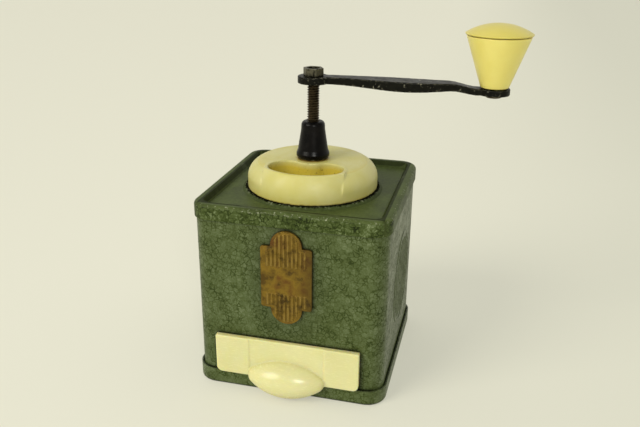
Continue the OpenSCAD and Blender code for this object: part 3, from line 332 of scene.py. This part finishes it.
def ureaPlastic(name, resin):
    material, tree, shader, place = startMaterial(name, 0.3)
    shader.inputs["Subsurface Weight"].default_value = resin["glow"]
    shader.inputs["Subsurface Radius"].default_value = (1.0, 0.75, 0.3)
    shader.inputs["Subsurface Scale"].default_value = (1 + 4 * resin["glow"]) * mm
    cloud = addNode(tree, "TexNoise", {"Vector": place, "Scale": perMm(resin["cloud"]), "Detail": 4})
    # paler towards both sides
    mirrored = addNode(tree, "VectorMath", {0: place}, operation="ABSOLUTE")
    across = addNode(tree, "SeparateXYZ", {0: mirrored})
    sidePaling = addNode(tree, "MapRange", {"Value": across.outputs["X"], "From Min": 0,
                                        "From Max": resin["sidePalingReach"] * mm, "To Max": resin["sidePaling"]})
    paler = addNode(tree, "Math", {0: cloud, 1: sidePaling}, operation="ADD")
    colour = addNode(tree, "ValToRGB", {"Fac": paler}, [(0.3, resin["deep"]), (0.7, resin["pale"])])
    wide = addNode(tree, "AmbientOcclusion", {"Distance": resin["hollowMm"] * mm}, samples=8)
    tight = addNode(tree, "AmbientOcclusion", {"Distance": resin["greaseShadeMm"] * mm}, samples=8)
    # painted shade and deeper yellowing in the hollows
    sunk = addNode(tree, "MapRange", {"Value": wide.outputs["AO"], "From Min": 0.85, "From Max": 0.5,
                                      "To Max": resin["hollowShare"]})
    # painted shade and oil that has gone in deepest below the lip of the bean mouth
    level = addNode(tree, "VectorMath", {0: place, 1: (1, 1, 0)}, operation="MULTIPLY")
    reach = addNode(tree, "VectorMath", {0: level}, operation="LENGTH")
    within = addNode(tree, "MapRange", {"Value": reach.outputs["Value"], "From Min": resin["mouthReach"] * mm,
                                        "From Max": (resin["mouthReach"] - 0.5) * mm,
                                        "To Max": resin["mouthShare"]})
    below = addNode(tree, "MapRange", {"Value": across.outputs["Z"], "From Min": (resin["mouthTop"] + 1) * mm,
                                       "From Max": (resin["mouthTop"] - 2) * mm})
    soakedAndShaded = addNode(tree, "Math", {0: within, 1: below}, operation="MULTIPLY")
    deeper = addNode(tree, "Math", {0: soakedAndShaded, 1: sunk}, operation="MAXIMUM")
    yellowedAndShaded = addNode(tree, "Mix", {0: deeper, 6: colour, 7: linear(resin["hollow"])}, data_type="RGBA")
    # greasy soiling and painted shade in the corners, specks all over, coffee crumbs in the mouth and dirt
    # along its lip
    speck = addNode(tree, "TexNoise", {"Vector": place, "Scale": perMm(resin["speckMm"]), "Detail": 6,
                                       "Roughness": 0.7})
    stainAndShade = addNode(tree, "MapRange", {"Value": tight.outputs["AO"], "From Min": 0.7, "From Max": 0.25,
                                       "To Max": resin["greaseShadeShare"]})
    dots = addNode(tree, "MapRange", {"Value": speck, "From Min": 0.7, "From Max": 0.77,
                                      "To Max": resin["speck"]})
    crumbs = addNode(tree, "MapRange", {"Value": speck, "From Min": 0.59, "From Max": 0.65})
    grounds = addNode(tree, "Math", {0: crumbs, 1: soakedAndShaded}, operation="MULTIPLY")
    edges = edgeMask(tree, resin["lipMm"], 0.99, 0.9)
    lip = addNode(tree, "Math", {0: edges, 1: within}, operation="MULTIPLY")
    crust = addNode(tree, "MapRange", {"Value": speck, "From Min": 0.42, "From Max": 0.56,
                                       "To Max": resin["lipShare"]})
    lipDirt = addNode(tree, "Math", {0: lip, 1: crust}, operation="MULTIPLY")
    coffee = addNode(tree, "Math", {0: grounds, 1: lipDirt}, operation="MAXIMUM")
    spots = addNode(tree, "Math", {0: coffee, 1: dots}, operation="MAXIMUM")
    dirtAndShade = addNode(tree, "Math", {0: stainAndShade, 1: spots}, operation="MAXIMUM")
    dirtyAndShaded = addNode(tree, "Mix", {0: dirtAndShade, 6: yellowedAndShaded.outputs[2], 7: linear(resin["greaseAndShade"])},
                    data_type="RGBA")
    # slanting hair scratches
    streak = addNode(tree, "Mapping", {"Vector": place, "Scale": (1, 1, 7), "Rotation": (0.5, 0.3, 0.9)})
    scratch = addNode(tree, "TexNoise", {"Vector": streak, "Scale": perMm(resin["scratchMm"]),
                                         "Detail": 7, "Roughness": 0.75})
    rough = (resin["shine"], resin["shine"] + resin["scuff"])
    relief = (resin["scuff"] * resin["reliefShare"], resin["reliefMm"])
    dressShader(tree, shader, dirtyAndShaded.outputs[2], scratch, (0.35, 0.7), rough, scratch, relief)
    return material


# Black phenolic moulding, once polished in its die: a soft gloss now, with dust in the notches.
bakelite = {"black": "#080707", "brown": "#0f0c0a", "cloud": 5, "ior": 1.6, "shine": 0.09,
            "dust": "#57503f", "dustMm": 1.5, "dustGrain": 0.8, "dustShare": 0.6, "rough": (0.26, 0.4)}


def phenolic(name, resin):
    material, tree, shader, place = startMaterial(name, 0.16, resin["ior"])
    shader.inputs["Specular IOR Level"].default_value = resin["shine"]
    cloud = addNode(tree, "TexNoise", {"Vector": place, "Scale": perMm(resin["cloud"]), "Detail": 5})
    colour = addNode(tree, "ValToRGB", {"Fac": cloud}, [(0.4, resin["black"]), (0.7, resin["brown"])])
    hollow = addNode(tree, "AmbientOcclusion", {"Distance": resin["dustMm"] * mm}, samples=6)
    fine = addNode(tree, "TexNoise", {"Vector": place, "Scale": perMm(resin["dustGrain"]), "Detail": 4})
    deep = addNode(tree, "Math", {0: hollow.outputs["AO"], 1: fine}, operation="MULTIPLY")
    dust = addNode(tree, "MapRange", {"Value": deep, "From Min": 0.26, "From Max": 0.12,
                                      "To Max": resin["dustShare"]})
    dusty = addNode(tree, "Mix", {0: dust, 6: colour, 7: linear(resin["dust"])}, data_type="RGBA")
    dressShader(tree, shader, dusty.outputs[2], cloud, (0.35, 0.7), resin["rough"])
    return material


# Dipped black enamel on a forged steel arm: lumpy and half glossy, chipped to grey along its edges and
# flecked elsewhere.
armEnamel = {"black": "#0a0a06", "grey": "#15150e", "steel": "#8f8c78", "lump": 3, "chip": 1.6,
             "chipEdge": 1.0, "chipDepth": -0.5, "shine": 0.09, "rough": (0.26, 0.46), "relief": (0.35, 0.3)}


def dippedEnamel(name, paint):
    material, tree, shader, place = startMaterial(name, 0.34)
    shader.inputs["Specular IOR Level"].default_value = paint["shine"]
    lump = addNode(tree, "TexNoise", {"Vector": place, "Scale": perMm(paint["lump"]), "Detail": 4})
    colour = addNode(tree, "ValToRGB", {"Fac": lump}, [(0.35, paint["black"]), (0.75, paint["grey"])])
    chipNoise = addNode(tree, "TexNoise", {"Vector": place, "Scale": perMm(paint["chip"]), "Detail": 5,
                                           "Roughness": 0.65})
    edges = edgeMask(tree, paint["chipEdge"], 0.99, 0.9)
    chips = addNode(tree, "Math", {0: edges, 1: chipNoise}, operation="MULTIPLY")
    bareAndShade = addNode(tree, "MapRange", {"Value": chips, "From Min": 0.46, "From Max": 0.54})
    flecks = addNode(tree, "MapRange", {"Value": chipNoise, "From Min": 0.62, "From Max": 0.68})
    steel = addNode(tree, "Math", {0: bareAndShade, 1: flecks}, operation="MAXIMUM")
    worn = addNode(tree, "Mix", {0: steel, 6: colour, 7: linear(paint["steel"])}, data_type="RGBA")
    height = addNode(tree, "Math", {0: steel, 1: paint["chipDepth"], 2: lump}, operation="MULTIPLY_ADD")
    dressShader(tree, shader, worn.outputs[2], lump, (0.3, 0.7), paint["rough"], height, paint["relief"])
    return material


# Bare metals: a clean tone, a tarnished one that gathers in clouds and hollows, and a grain in the gloss.
tarnishing = {"hollowMm": 1.2, "hollowPull": -0.5, "from": 0.28, "to": 0.44, "pitMm": 0.15}


def agedMetal(name, clean, aged, cloudMm, agedShare, smooth, rough, grainMm=0.6, pits=0.1):
    material, tree, shader, place = startMaterial(name, rough, metallic=1.0)
    cloud = addNode(tree, "TexNoise", {"Vector": place, "Scale": perMm(cloudMm), "Detail": 6,
                                       "Roughness": 0.6})
    hollow = addNode(tree, "AmbientOcclusion", {"Distance": tarnishing["hollowMm"] * mm}, samples=6)
    sunk = addNode(tree, "Math", {0: hollow.outputs["AO"], 1: tarnishing["hollowPull"], 2: cloud},
                   operation="MULTIPLY_ADD")
    tarnish = addNode(tree, "MapRange", {"Value": sunk, "From Min": tarnishing["from"] - agedShare,
                                         "From Max": tarnishing["to"] - agedShare})
    colour = addNode(tree, "Mix", {0: tarnish, 6: linear(clean), 7: linear(aged)}, data_type="RGBA")
    grain = addNode(tree, "TexNoise", {"Vector": place, "Scale": perMm(grainMm), "Detail": 5})
    mixed = addNode(tree, "Math", {0: tarnish, 1: grain}, operation="ADD")
    relief = (pits, tarnishing["pitMm"])
    dressShader(tree, shader, colour.outputs[2], mixed, (0.3, 1.5), (smooth, rough), grain, relief)
    return material


# Thin pressed brass, once lacquered: brown blotches, black in the grooves, lighter on the ridges as worn
# brass with a painted highlight, and painted shade towards its right edge.
plaqueBrass = {
    "clean": "#82681d", "brown": "#543f0c", "red": "#624112", "grooveAndShade": "#1a1304", "ridge": "#8a7130",
    "metal": 0.6, "blotch": 9, "stainAndShade": 4, "spotShare": 0.65, "grooveMm": 0.9, "grooveShare": 0.9,
    "fieldY": -50.4, "ribHigh": 0.4, "fadeFrom": 4, "fadeTo": 14, "fadeShare": 0.55,
    "rough": (0.36, 0.62), "relief": (0.3, 0.2)}


def pressedBrass(name, brass):
    material, tree, shader, place = startMaterial(name, 0.5, metallic=brass["metal"])
    blotch = addNode(tree, "TexNoise", {"Vector": place, "Scale": perMm(brass["blotch"]), "Detail": 5,
                                        "Roughness": 0.6})
    stainAndShade = addNode(tree, "TexNoise", {"Vector": place, "Scale": perMm(brass["stainAndShade"]), "Detail": 6,
                                       "Roughness": 0.65})
    tone = addNode(tree, "ValToRGB", {"Fac": blotch},
                   [(0.36, brass["brown"]), (0.5, brass["clean"]), (0.68, brass["red"])])
    spots = addNode(tree, "MapRange", {"Value": stainAndShade, "From Min": 0.53, "From Max": 0.68,
                                       "To Max": brass["spotShare"]})
    hollow = addNode(tree, "AmbientOcclusion", {"Distance": brass["grooveMm"] * mm}, samples=8)
    sunk = addNode(tree, "MapRange", {"Value": hollow.outputs["AO"], "From Min": 0.9, "From Max": 0.55,
                                      "To Max": brass["grooveShare"]})
    depth = addNode(tree, "SeparateXYZ", {0: place})
    # painted shade, darker towards the plaque's right edge
    shaded = addNode(tree, "MapRange", {"Value": depth.outputs["X"], "From Min": brass["fadeFrom"] * mm,
                                        "From Max": brass["fadeTo"] * mm, "To Max": brass["fadeShare"]})
    stainsAndShade = addNode(tree, "Math", {0: spots, 1: shaded}, operation="MAXIMUM")
    dark = addNode(tree, "Math", {0: stainsAndShade, 1: sunk}, operation="MAXIMUM")
    dull = addNode(tree, "Mix", {0: dark, 6: tone, 7: linear(brass["grooveAndShade"])}, data_type="RGBA")
    # the ridge tops are lighter, partly worn brass and partly a painted highlight
    high = addNode(tree, "MapRange", {"Value": depth.outputs["Y"], "From Min": brass["fieldY"] * mm,
                                      "From Max": (brass["fieldY"] - brass["ribHigh"]) * mm})
    kept = addNode(tree, "MapRange", {"Value": stainAndShade, "From Min": 0.6, "From Max": 0.42})
    ridge = addNode(tree, "Math", {0: kept, 1: high}, operation="MULTIPLY")
    rubbedAndSheen = addNode(tree, "Mix", {0: ridge, 6: dull.outputs[2], 7: linear(brass["ridge"])},
                     data_type="RGBA")
    dressShader(tree, shader, rubbedAndSheen.outputs[2], stainAndShade, (0.35, 0.7), brass["rough"], stainAndShade, brass["relief"])
    return material


finishes = {
    "hammer_green": hammertoneEnamel("hammertone_enamel", hammerPaint),
    "cap_green": capEnamel("cap_enamel", capPaint, skirtPaint),
    "dome_plastic": ureaPlastic("dome_urea", domeUrea),
    "cream_plastic": ureaPlastic("drawer_urea", drawerUrea),
    "knob_plastic": ureaPlastic("knob_urea", knobUrea),
    "black_bakelite": phenolic("black_phenolic", bakelite),
    "black_enamel": dippedEnamel("dipped_enamel", armEnamel),
    "dark_steel": agedMetal("blackened_steel", clean="#574c39", aged="#120e07", cloudMm=2.5, agedShare=0.14,
                            smooth=0.34, rough=0.6, pits=0.2),
    "grey_steel": agedMetal("dull_steel", clean="#636050", aged="#17150f", cloudMm=1.8, agedShare=0.25,
                            smooth=0.42, rough=0.68, pits=0.5),
    "tinned_steel": agedMetal("tinned_steel", clean="#b9b6ab", aged="#8a8475", cloudMm=9, agedShare=0.0,
                              smooth=0.3, rough=0.55, grainMm=1.2),
    "cast_iron": agedMetal("cast_iron", clean="#5c5a55", aged="#3a3631", cloudMm=2, agedShare=0.05,
                           smooth=0.5, rough=0.8, grainMm=0.8, pits=0.4),
    "bush_brass": agedMetal("turned_brass", clean="#8a7140", aged="#4d3d1f", cloudMm=4, agedShare=0.04,
                            smooth=0.3, rough=0.55),
    "badge_brass": pressedBrass("pressed_brass", plaqueBrass),
}
lidFinish = ureaPlastic("lid_urea", lidUrea)
nodeSlots = {row["node"]: row["material_slot"] for row in frame["record"]["subparts"]}
for node, slot in nodeSlots.items():
    mesh = nodes[node].data
    mesh.materials.clear()
    mesh.materials.append(finishes[slot])
print("finishes:", len(finishes))


def clearSelection():
    if bpy.context.object and bpy.context.object.mode != "OBJECT":
        bpy.ops.object.mode_set(mode="OBJECT")
    bpy.ops.object.select_all(action="DESELECT")


def applyAll(piece):
    for name in [m.name for m in piece.modifiers]:
        bpy.ops.object.modifier_apply(modifier=name)


def finishPiece(piece, body, slot, *replaced):
    piece.data.materials.clear()
    piece.data.materials.append(finishes[slot])
    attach(piece, body)
    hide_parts(*replaced)
    print("piece:", piece.name, len(piece.data.polygons), "faces")


# A copy of a node's solid, its triangles merged into one skin, left open in edit mode
def copyNode(name, node):
    clearSelection()
    piece = bpy.data.objects.new(name, nodes[node].data.copy())
    bpy.context.scene.collection.objects.link(piece)
    bpy.context.view_layer.objects.active = piece
    piece.select_set(True)
    bpy.ops.object.mode_set(mode="EDIT")
    bpy.ops.mesh.select_all(action="SELECT")
    bpy.ops.mesh.remove_doubles(threshold=weld)
    return piece


# A copy in even small quads of so many millimetres, relaxed until its sharp edges are moulded round
def mouldedCopy(name, node, voxel, relax):
    piece = copyNode(name, node)
    bpy.ops.object.mode_set(mode="OBJECT")
    even = piece.modifiers.new("evenQuads", "REMESH")
    even.mode = "VOXEL"
    even.voxel_size = voxel * mm
    soften = piece.modifiers.new("relax", "SMOOTH")
    soften.factor = 0.5
    soften.iterations = relax
    applyAll(piece)
    bpy.ops.object.shade_smooth()
    return piece


# A copy with its sharp edges rounded off, by so many millimetres; flats with a large hole stay in small faces
def bevelledCopy(name, node, width, wholeFlats=True):
    piece = copyNode(name, node)
    if wholeFlats:
        bpy.ops.mesh.dissolve_limited(angle_limit=math.radians(0.5))
    else:
        bpy.ops.mesh.tris_convert_to_quads(face_threshold=math.radians(1), shape_threshold=math.radians(60))
    bpy.ops.object.mode_set(mode="OBJECT")
    edge = piece.modifiers.new("edge", "BEVEL")
    edge.width = width * mm
    edge.segments = 2
    edge.limit_method = "ANGLE"
    edge.angle_limit = math.radians(32)
    even = piece.modifiers.new("evenShade", "WEIGHTED_NORMAL")
    even.keep_sharp = True
    bpy.ops.object.shade_smooth()
    applyAll(piece)
    return piece


# Corners of (radius, height, rounding) in millimetres to a polyline with arcs at the corners
def roundedOutline(corners, arcSteps=6):
    points = []
    for i, (r, z, rounding) in enumerate(corners):
        here = Vector((r, z))
        if not rounding or i in (0, len(corners) - 1):
            points.append(here)
            continue
        back = (Vector(corners[i - 1][:2]) - here).normalized()
        ahead = (Vector(corners[i + 1][:2]) - here).normalized()
        half = back.angle(ahead) / 2
        reach = rounding / math.tan(half)
        middle = here + (back + ahead).normalized() * rounding / math.sin(half)
        start, end = here + back * reach - middle, here + ahead * reach - middle
        sweep = start.angle_signed(end)
        for k in range(arcSteps + 1):
            turned = start.copy()
            turned.rotate(Matrix.Rotation(-sweep * k / arcSteps, 2))
            points.append(middle + turned)
    return points


# Draws an outline vertex by vertex in the XZ plane, at a radius from an upright axis
def drawOutline(name, outline, axis):
    clearSelection()
    bpy.ops.mesh.primitive_plane_add(size=mm)
    piece = bpy.context.object
    piece.name = piece.data.name = name
    bpy.ops.object.mode_set(mode="EDIT")
    bpy.ops.mesh.select_all(action="SELECT")
    bpy.ops.mesh.merge(type="CENTER")
    points = [Vector((axis[0] + r, axis[1], z)) * mm for r, z in outline]
    bpy.ops.transform.translate(value=points[0])
    for last, following in zip(points, points[1:]):
        bpy.ops.mesh.extrude_vertices_move(TRANSFORM_OT_translate={"value": following - last})
    return piece


# Turns an outline on a lathe
def turnedPiece(name, corners, steps, axis=(0, 0)):
    piece = drawOutline(name, roundedOutline(corners), axis)
    bpy.ops.mesh.select_all(action="SELECT")
    bpy.ops.mesh.spin(steps=steps, angle=math.tau, center=(axis[0] * mm, axis[1] * mm, 0), axis=(0, 0, 1))
    bpy.ops.mesh.select_all(action="SELECT")
    bpy.ops.mesh.remove_doubles(threshold=weld)
    bpy.ops.mesh.normals_make_consistent(inside=False)
    bpy.ops.object.mode_set(mode="OBJECT")
    bpy.ops.object.shade_smooth_by_angle(angle=math.radians(35))
    return piece


# Pressings of the box, with the soft edges that sheet takes in the press
wallSheet = {"width": 0.25}
capSheet = {"width": 0.3, "wholeFlats": False}
finishPiece(bevelledCopy("box_shell", "body_shell", **wallSheet), "housing", "hammer_green", "body_shell")
finishPiece(bevelledCopy("box_base", "base_plate", **wallSheet), "housing", "hammer_green", "base_plate")
finishPiece(bevelledCopy("box_cap", "top_cap", **capSheet), "housing", "cap_green", "top_cap")

# Moulded dome over the beans, with its kidney-shaped mouth
dome = {"voxel": 0.45, "relax": 4}
finishPiece(mouldedCopy("bean_dome", "hopper_dome", **dome), "housing", "dome_plastic", "hopper_dome")

# Cranked arm, forged flat and dipped
arm = {"voxel": 0.3, "relax": 8}
finishPiece(mouldedCopy("crank_lever", "crank_arm", **arm), "spindle", "black_enamel", "crank_arm")

# Nut that clamps the arm, and the pin that the knob turns on
armNut = {"width": 0.5}
knobPin = {"width": 0.2}
finishPiece(bevelledCopy("arm_nut", "crank_nut", **armNut), "spindle", "grey_steel", "crank_nut")
finishPiece(bevelledCopy("knob_rivet", "knob_pin", **knobPin), "spindle", "dark_steel", "knob_pin")

# Drawer plate with its moulded pull
plate = {"voxel": 0.35, "relax": 3}
finishPiece(mouldedCopy("drawer_plate", "drawer_front", **plate), "drawer", "cream_plastic", "drawer_front")

# Stamped plaque on the front
plaque = {"voxel": 0.18, "relax": 3}
finishPiece(mouldedCopy("front_plaque", "badge", **plaque), "housing", "badge_brass", "badge")

# Spindle: rolled thread above, plain and chamfered below
spindle = {"root": 2.5, "crest": 3.16, "pitch": 1.27, "crestFrom": 0.38, "crestTo": 0.5, "rootFrom": 0.88,
           "turns": 42, "steps": 28, "shankSteps": 40, "low": 33.0, "threadLow": 110.0, "high": 159.7,
           "chamfer": 0.6, "shankPoint": 0.5}


def cutSpindle(s):
    p = s["pitch"]
    tooth = [(s["root"], 0), (s["crest"], s["crestFrom"] * p), (s["crest"], s["crestTo"] * p),
             (s["root"], s["rootFrom"] * p), (s["root"], p)]
    rod = drawOutline("threaded_spindle", tooth, (0, 0))
    bpy.ops.mesh.select_all(action="SELECT")
    bpy.ops.transform.translate(value=(0, 0, (s["threadLow"] - p) * mm))
    bpy.ops.object.mode_set(mode="OBJECT")
    helix = rod.modifiers.new("helix", "SCREW")
    helix.axis = "Z"
    helix.screw_offset = p * mm
    helix.iterations = s["turns"]
    helix.steps = helix.render_steps = s["steps"]
    helix.use_merge_vertices = True
    helix.merge_threshold = weld
    applyAll(rod)
    bpy.ops.object.mode_set(mode="EDIT")
    for height, keepBelow in ((s["high"], True), (s["threadLow"], False)):
        bpy.ops.mesh.select_all(action="SELECT")
        bpy.ops.mesh.bisect(plane_co=(0, 0, height * mm), plane_no=(0, 0, 1), use_fill=True,
                            clear_outer=keepBelow, clear_inner=not keepBelow)
    bpy.ops.mesh.select_all(action="SELECT")
    bpy.ops.mesh.remove_doubles(threshold=weld)
    bpy.ops.mesh.normals_make_consistent(inside=False)
    bpy.ops.object.mode_set(mode="OBJECT")
    bpy.ops.object.shade_smooth_by_angle(angle=math.radians(30))
    turnedPiece("shank", [
        (0, s["low"], 0), (s["crest"] - s["chamfer"], s["low"], 0), (s["crest"], s["low"] + s["chamfer"], 0),
        (s["crest"], s["threadLow"], 0), (0, s["threadLow"] + s["shankPoint"], 0)], s["shankSteps"])
    rod.select_set(True)
    bpy.context.view_layer.objects.active = rod
    bpy.ops.object.join()
    return rod


finishPiece(cutSpindle(spindle), "spindle", "dark_steel", "shaft")

# Burr spring: the wire rises with the spindle
spring = {"voxel": 0.2, "relax": 2, "lift": 1.27}
coil = mouldedCopy("coil_spring", "burr_spring", spring["voxel"], spring["relax"])
finishPiece(coil, "spindle", nodeSlots["burr_spring"], "burr_spring")
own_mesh(coil)

# Knob: a hollow cone moulded with a crisp rim, and its lens-shaped cap pressed in
knob = {"axis": (89.011, 18.920), "low": 152.05, "rim": 177.95, "footR": 7.0, "rimR": 15.9, "lidR": 16.7,
        "wall": 2.6, "floor": 6.4, "bore": 2.56, "capRise": 5.0, "capEdge": 0.6, "seam": 0.1,
        "footRound": 0.9, "rimDrop": 0.4, "rimRound": 0.35, "lipRound": 0.3, "floorRound": 0.4,
        "spigotGap": 0.15, "lidInset": 0.4, "lidRound": 0.2, "lensSteps": 15, "steps": 96}


def turnKnob(k):
    slope = (k["rimR"] - k["footR"]) / (k["rim"] - k["low"])
    floorR = k["footR"] + slope * k["floor"] - k["wall"]
    floorZ = k["low"] + k["floor"]
    body = turnedPiece("knob_cone", [
        (k["bore"], k["low"], 0), (k["footR"], k["low"], k["footRound"]),
        (k["rimR"], k["rim"] - k["rimDrop"], k["rimRound"]), (k["rimR"] - k["wall"], k["rim"], k["lipRound"]),
        (floorR, floorZ, k["floorRound"]), (k["bore"], floorZ, 0), (k["bore"], k["low"], 0)],
        k["steps"], k["axis"])
    finishPiece(body, "knob", "knob_plastic", "knob_body")
    top = k["rim"] + k["capEdge"] + k["capRise"]
    arcR = (k["lidR"] ** 2 + k["capRise"] ** 2) / (2 * k["capRise"])
    lens = []
    for i in range(1, k["lensSteps"]):
        r = k["lidR"] * (1 - i / k["lensSteps"])
        lens.append((r, top - arcR + math.sqrt(arcR ** 2 - r ** 2), 0))
    spigotR = k["rimR"] - k["wall"] - slope * k["wall"] - k["spigotGap"]
    seat = k["rim"] + k["seam"]
    lid = turnedPiece("knob_lid", [
        (0, k["rim"] - k["wall"], 0), (spigotR, k["rim"] - k["wall"], 0), (spigotR, seat, 0),
        (k["lidR"] - k["lidInset"], seat, 0), (k["lidR"], k["rim"] + k["capEdge"], k["lidRound"])]
        + lens + [(0, top, 0)], k["steps"], k["axis"])
    finishPiece(lid, "knob", "knob_plastic", "knob_cap")
    lid.data.materials[0] = lidFinish


turnKnob(knob)

# Adjusting nut: a polished bell with a flared, notched foot
nut = {"low": 114.5, "high": 133.3, "bore": 3.215, "sink": 0.2, "boreChamfer": 0.5,
       "footR": 9.2, "footH": 2.0, "footChamfer": 0.6, "footRounds": (0.4, 0.6), "skirtR": 8.35,
       "skirtRound": 1.6, "shoulderR": 6.65, "shoulderDrop": 4.5, "shoulderRound": 3.0, "neckR": 6.4,
       "neckRound": 2.1, "notches": 12, "notchDepth": 0.55, "notchFromR": 7.8, "columns": 8}


def turnNut(n):
    low, high, bore = n["low"], n["high"], n["bore"]
    flareTop = low + 2 * n["footH"]
    steps = n["notches"] * n["columns"]
    bell = turnedPiece("adjuster_bell", [
        (bore, low + n["sink"], 0), (n["footR"] - n["footChamfer"], low, 0),
        (n["footR"], low + n["footChamfer"], n["footRounds"][0]),
        (n["footR"], low + n["footH"], n["footRounds"][1]), (n["skirtR"], flareTop, n["skirtRound"]),
        (n["shoulderR"], high - n["shoulderDrop"], n["shoulderRound"]), (n["neckR"], high, n["neckRound"]),
        (bore + n["boreChamfer"], high, 0), (bore, high - n["boreChamfer"], 0), (bore, low + n["sink"], 0)],
        steps)
    for vertex in bell.data.vertices:  # one column of the foot in every eight is a notch
        r = math.hypot(vertex.co.x, vertex.co.y) / mm
        column = math.degrees(math.atan2(vertex.co.y, vertex.co.x)) / (360 / steps)
        inFoot = vertex.co.z / mm < flareTop and r > n["notchFromR"]
        vertex.select = inFoot and round(column) % n["columns"] == 0
    bpy.ops.object.mode_set(mode="EDIT")
    bpy.context.tool_settings.mesh_select_mode = (True, False, False)
    shrink = 1 - n["notchDepth"] / n["footR"]
    bpy.ops.transform.resize(value=(shrink, shrink, 1), center_override=(0, 0, low * mm))
    bpy.ops.object.mode_set(mode="OBJECT")
    return bell


finishPiece(turnNut(nut), "adjuster", "black_bakelite", "adjusting_nut")

# Floor, room and lamps. The camera sees the floor partly as plain pale paper, so that it stays even,
# and the paper has painted shade, a little darker on the right. Lengths are in metres.
stage = {"paper": "#e2e1d0", "shaded": "#d3d3c3", "fadeFrom": -0.08, "fadeTo": 0.34, "reach": 6.0,
         "sides": 96, "plainShare": 0.4, "plainLevel": 1.17, "room": "#fffdf4", "darkSide": 0.2,
         "paleSide": 0.58, "overhead": 0.26, "seenSide": 0.8}


# 1 for what the camera sees, straight or mirrored
def directRays(tree):
    ray = addNode(tree, "LightPath")
    return addNode(tree, "Math", {0: ray.outputs["Is Camera Ray"], 1: ray.outputs["Is Glossy Ray"]},
                   operation="MAXIMUM")


def layFloor(s):
    clearSelection()
    bpy.ops.mesh.primitive_circle_add(vertices=s["sides"], radius=s["reach"], fill_type="NGON")
    floor = bpy.context.object
    floor.name = "paper_floor"
    paper, tree, shader, place = startMaterial("matt_paper", 0.9)
    shader.inputs["Specular IOR Level"].default_value = 0.1
    across = addNode(tree, "SeparateXYZ", {0: place})
    fade = addNode(tree, "MapRange", {"Value": across.outputs["X"], "From Min": s["fadeFrom"],
                                      "From Max": s["fadeTo"]}, interpolation_type="SMOOTHSTEP")
    tone = addNode(tree, "Mix", {0: fade, 6: linear(s["paper"]), 7: linear(s["shaded"])},
                   data_type="RGBA").outputs[2]
    tree.links.new(tone, shader.inputs["Base Color"])
    plain = addNode(tree, "Emission", {"Color": tone, "Strength": s["plainLevel"]})
    share = addNode(tree, "Math", {0: directRays(tree), 1: s["plainShare"]}, operation="MULTIPLY")
    seen = addNode(tree, "MixShader", {0: share, 1: shader, 2: plain})
    tree.links.new(seen.outputs[0], tree.nodes["Material Output"].inputs["Surface"])
    floor.data.materials.append(paper)


# Pale paper behind the part and a dim room in front of it
def surroundRoom(s):
    world = bpy.data.worlds.new("paper_and_room")
    bpy.context.scene.world = world
    world.use_nodes = True
    tree = world.node_tree
    background = tree.nodes["Background"]
    direction = addNode(tree, "SeparateXYZ", {0: addNode(tree, "TexCoord").outputs["Generated"]})
    behind = addNode(tree, "MapRange", {"Value": direction.outputs["Y"], "From Min": -0.5, "From Max": 0.5},
                     interpolation_type="SMOOTHSTEP")
    sides = addNode(tree, "Mix", {0: behind, 2: s["darkSide"], 3: s["paleSide"]})
    above = addNode(tree, "Math", {0: direction.outputs["Z"], 1: 0.0}, operation="MAXIMUM")
    lit = addNode(tree, "Math", {0: above, 1: s["overhead"], 2: sides}, operation="MULTIPLY_ADD")
    shown = addNode(tree, "Mix", {0: behind, 2: s["darkSide"], 3: s["seenSide"]})
    level = addNode(tree, "Mix", {0: directRays(tree), 2: lit, 3: shown})
    background.inputs["Color"].default_value = linear(s["room"])
    tree.links.new(level.outputs[0], background.inputs["Strength"])


layFloor(stage)
surroundRoom(stage)

# Daylight from the left as a wide sun, so that it falls evenly, and a softer window on the right
daylight = {"from": (-0.8, -0.85, 0.77), "spread": 34, "strength": 1.85, "tint": "#fffaee"}
window = {"place": (0.62, -1.55, 0.85), "size": 0.45, "watts": 12, "tint": "#fdfcf6"}
lampTarget = Vector((0, 0, 0.08))


def hangLamp(name, data, place, tint):
    data.color = linear(tint)[:3]
    light = bpy.data.objects.new(name, data)
    bpy.context.scene.collection.objects.link(light)
    light.location = place
    light.rotation_euler = (lampTarget - Vector(place)).to_track_quat("-Z", "Y").to_euler()


sun = bpy.data.lights.new("daylight", "SUN")
sun.angle = math.radians(daylight["spread"])
sun.energy = daylight["strength"]
hangLamp("daylight", sun, daylight["from"], daylight["tint"])
pane = bpy.data.lights.new("window", "AREA")
pane.shape = "SQUARE"
pane.size = window["size"]
pane.energy = window["watts"]
hangLamp("window", pane, window["place"], window["tint"])

# The photograph's viewpoint, in metres and degrees; the lens and sensor are in millimetres
viewpoint = {"place": (0.09176, -0.34918, 0.22484), "yaw": 14.09, "pitch": 21.63, "roll": 0.575,
             "lens": 40.25, "sensor": 36, "near": 0.01}


def placeCamera(v):
    yaw, pitch, roll = (math.radians(v[key]) for key in ("yaw", "pitch", "roll"))
    forward = Vector((-math.sin(yaw) * math.cos(pitch), math.cos(yaw) * math.cos(pitch), -math.sin(pitch)))
    level = Vector((math.cos(yaw), math.sin(yaw), 0))
    above = level.cross(forward)
    right = math.cos(roll) * level + math.sin(roll) * above
    up = math.cos(roll) * above - math.sin(roll) * level
    data = bpy.data.cameras.new("photo_camera")
    data.lens = v["lens"]
    data.sensor_width = v["sensor"]
    data.sensor_fit = "HORIZONTAL"
    data.clip_start = v["near"]
    camera = bpy.data.objects.new("photo_camera", data)
    bpy.context.scene.collection.objects.link(camera)
    turn = Matrix((right, up, -forward)).transposed()
    camera.matrix_world = Matrix.Translation(v["place"]) @ turn.to_4x4()
    bpy.context.scene.camera = camera


placeCamera(viewpoint)
bpy.context.scene.view_settings.view_transform = "Standard"
print("stage: floor, lamps, camera")
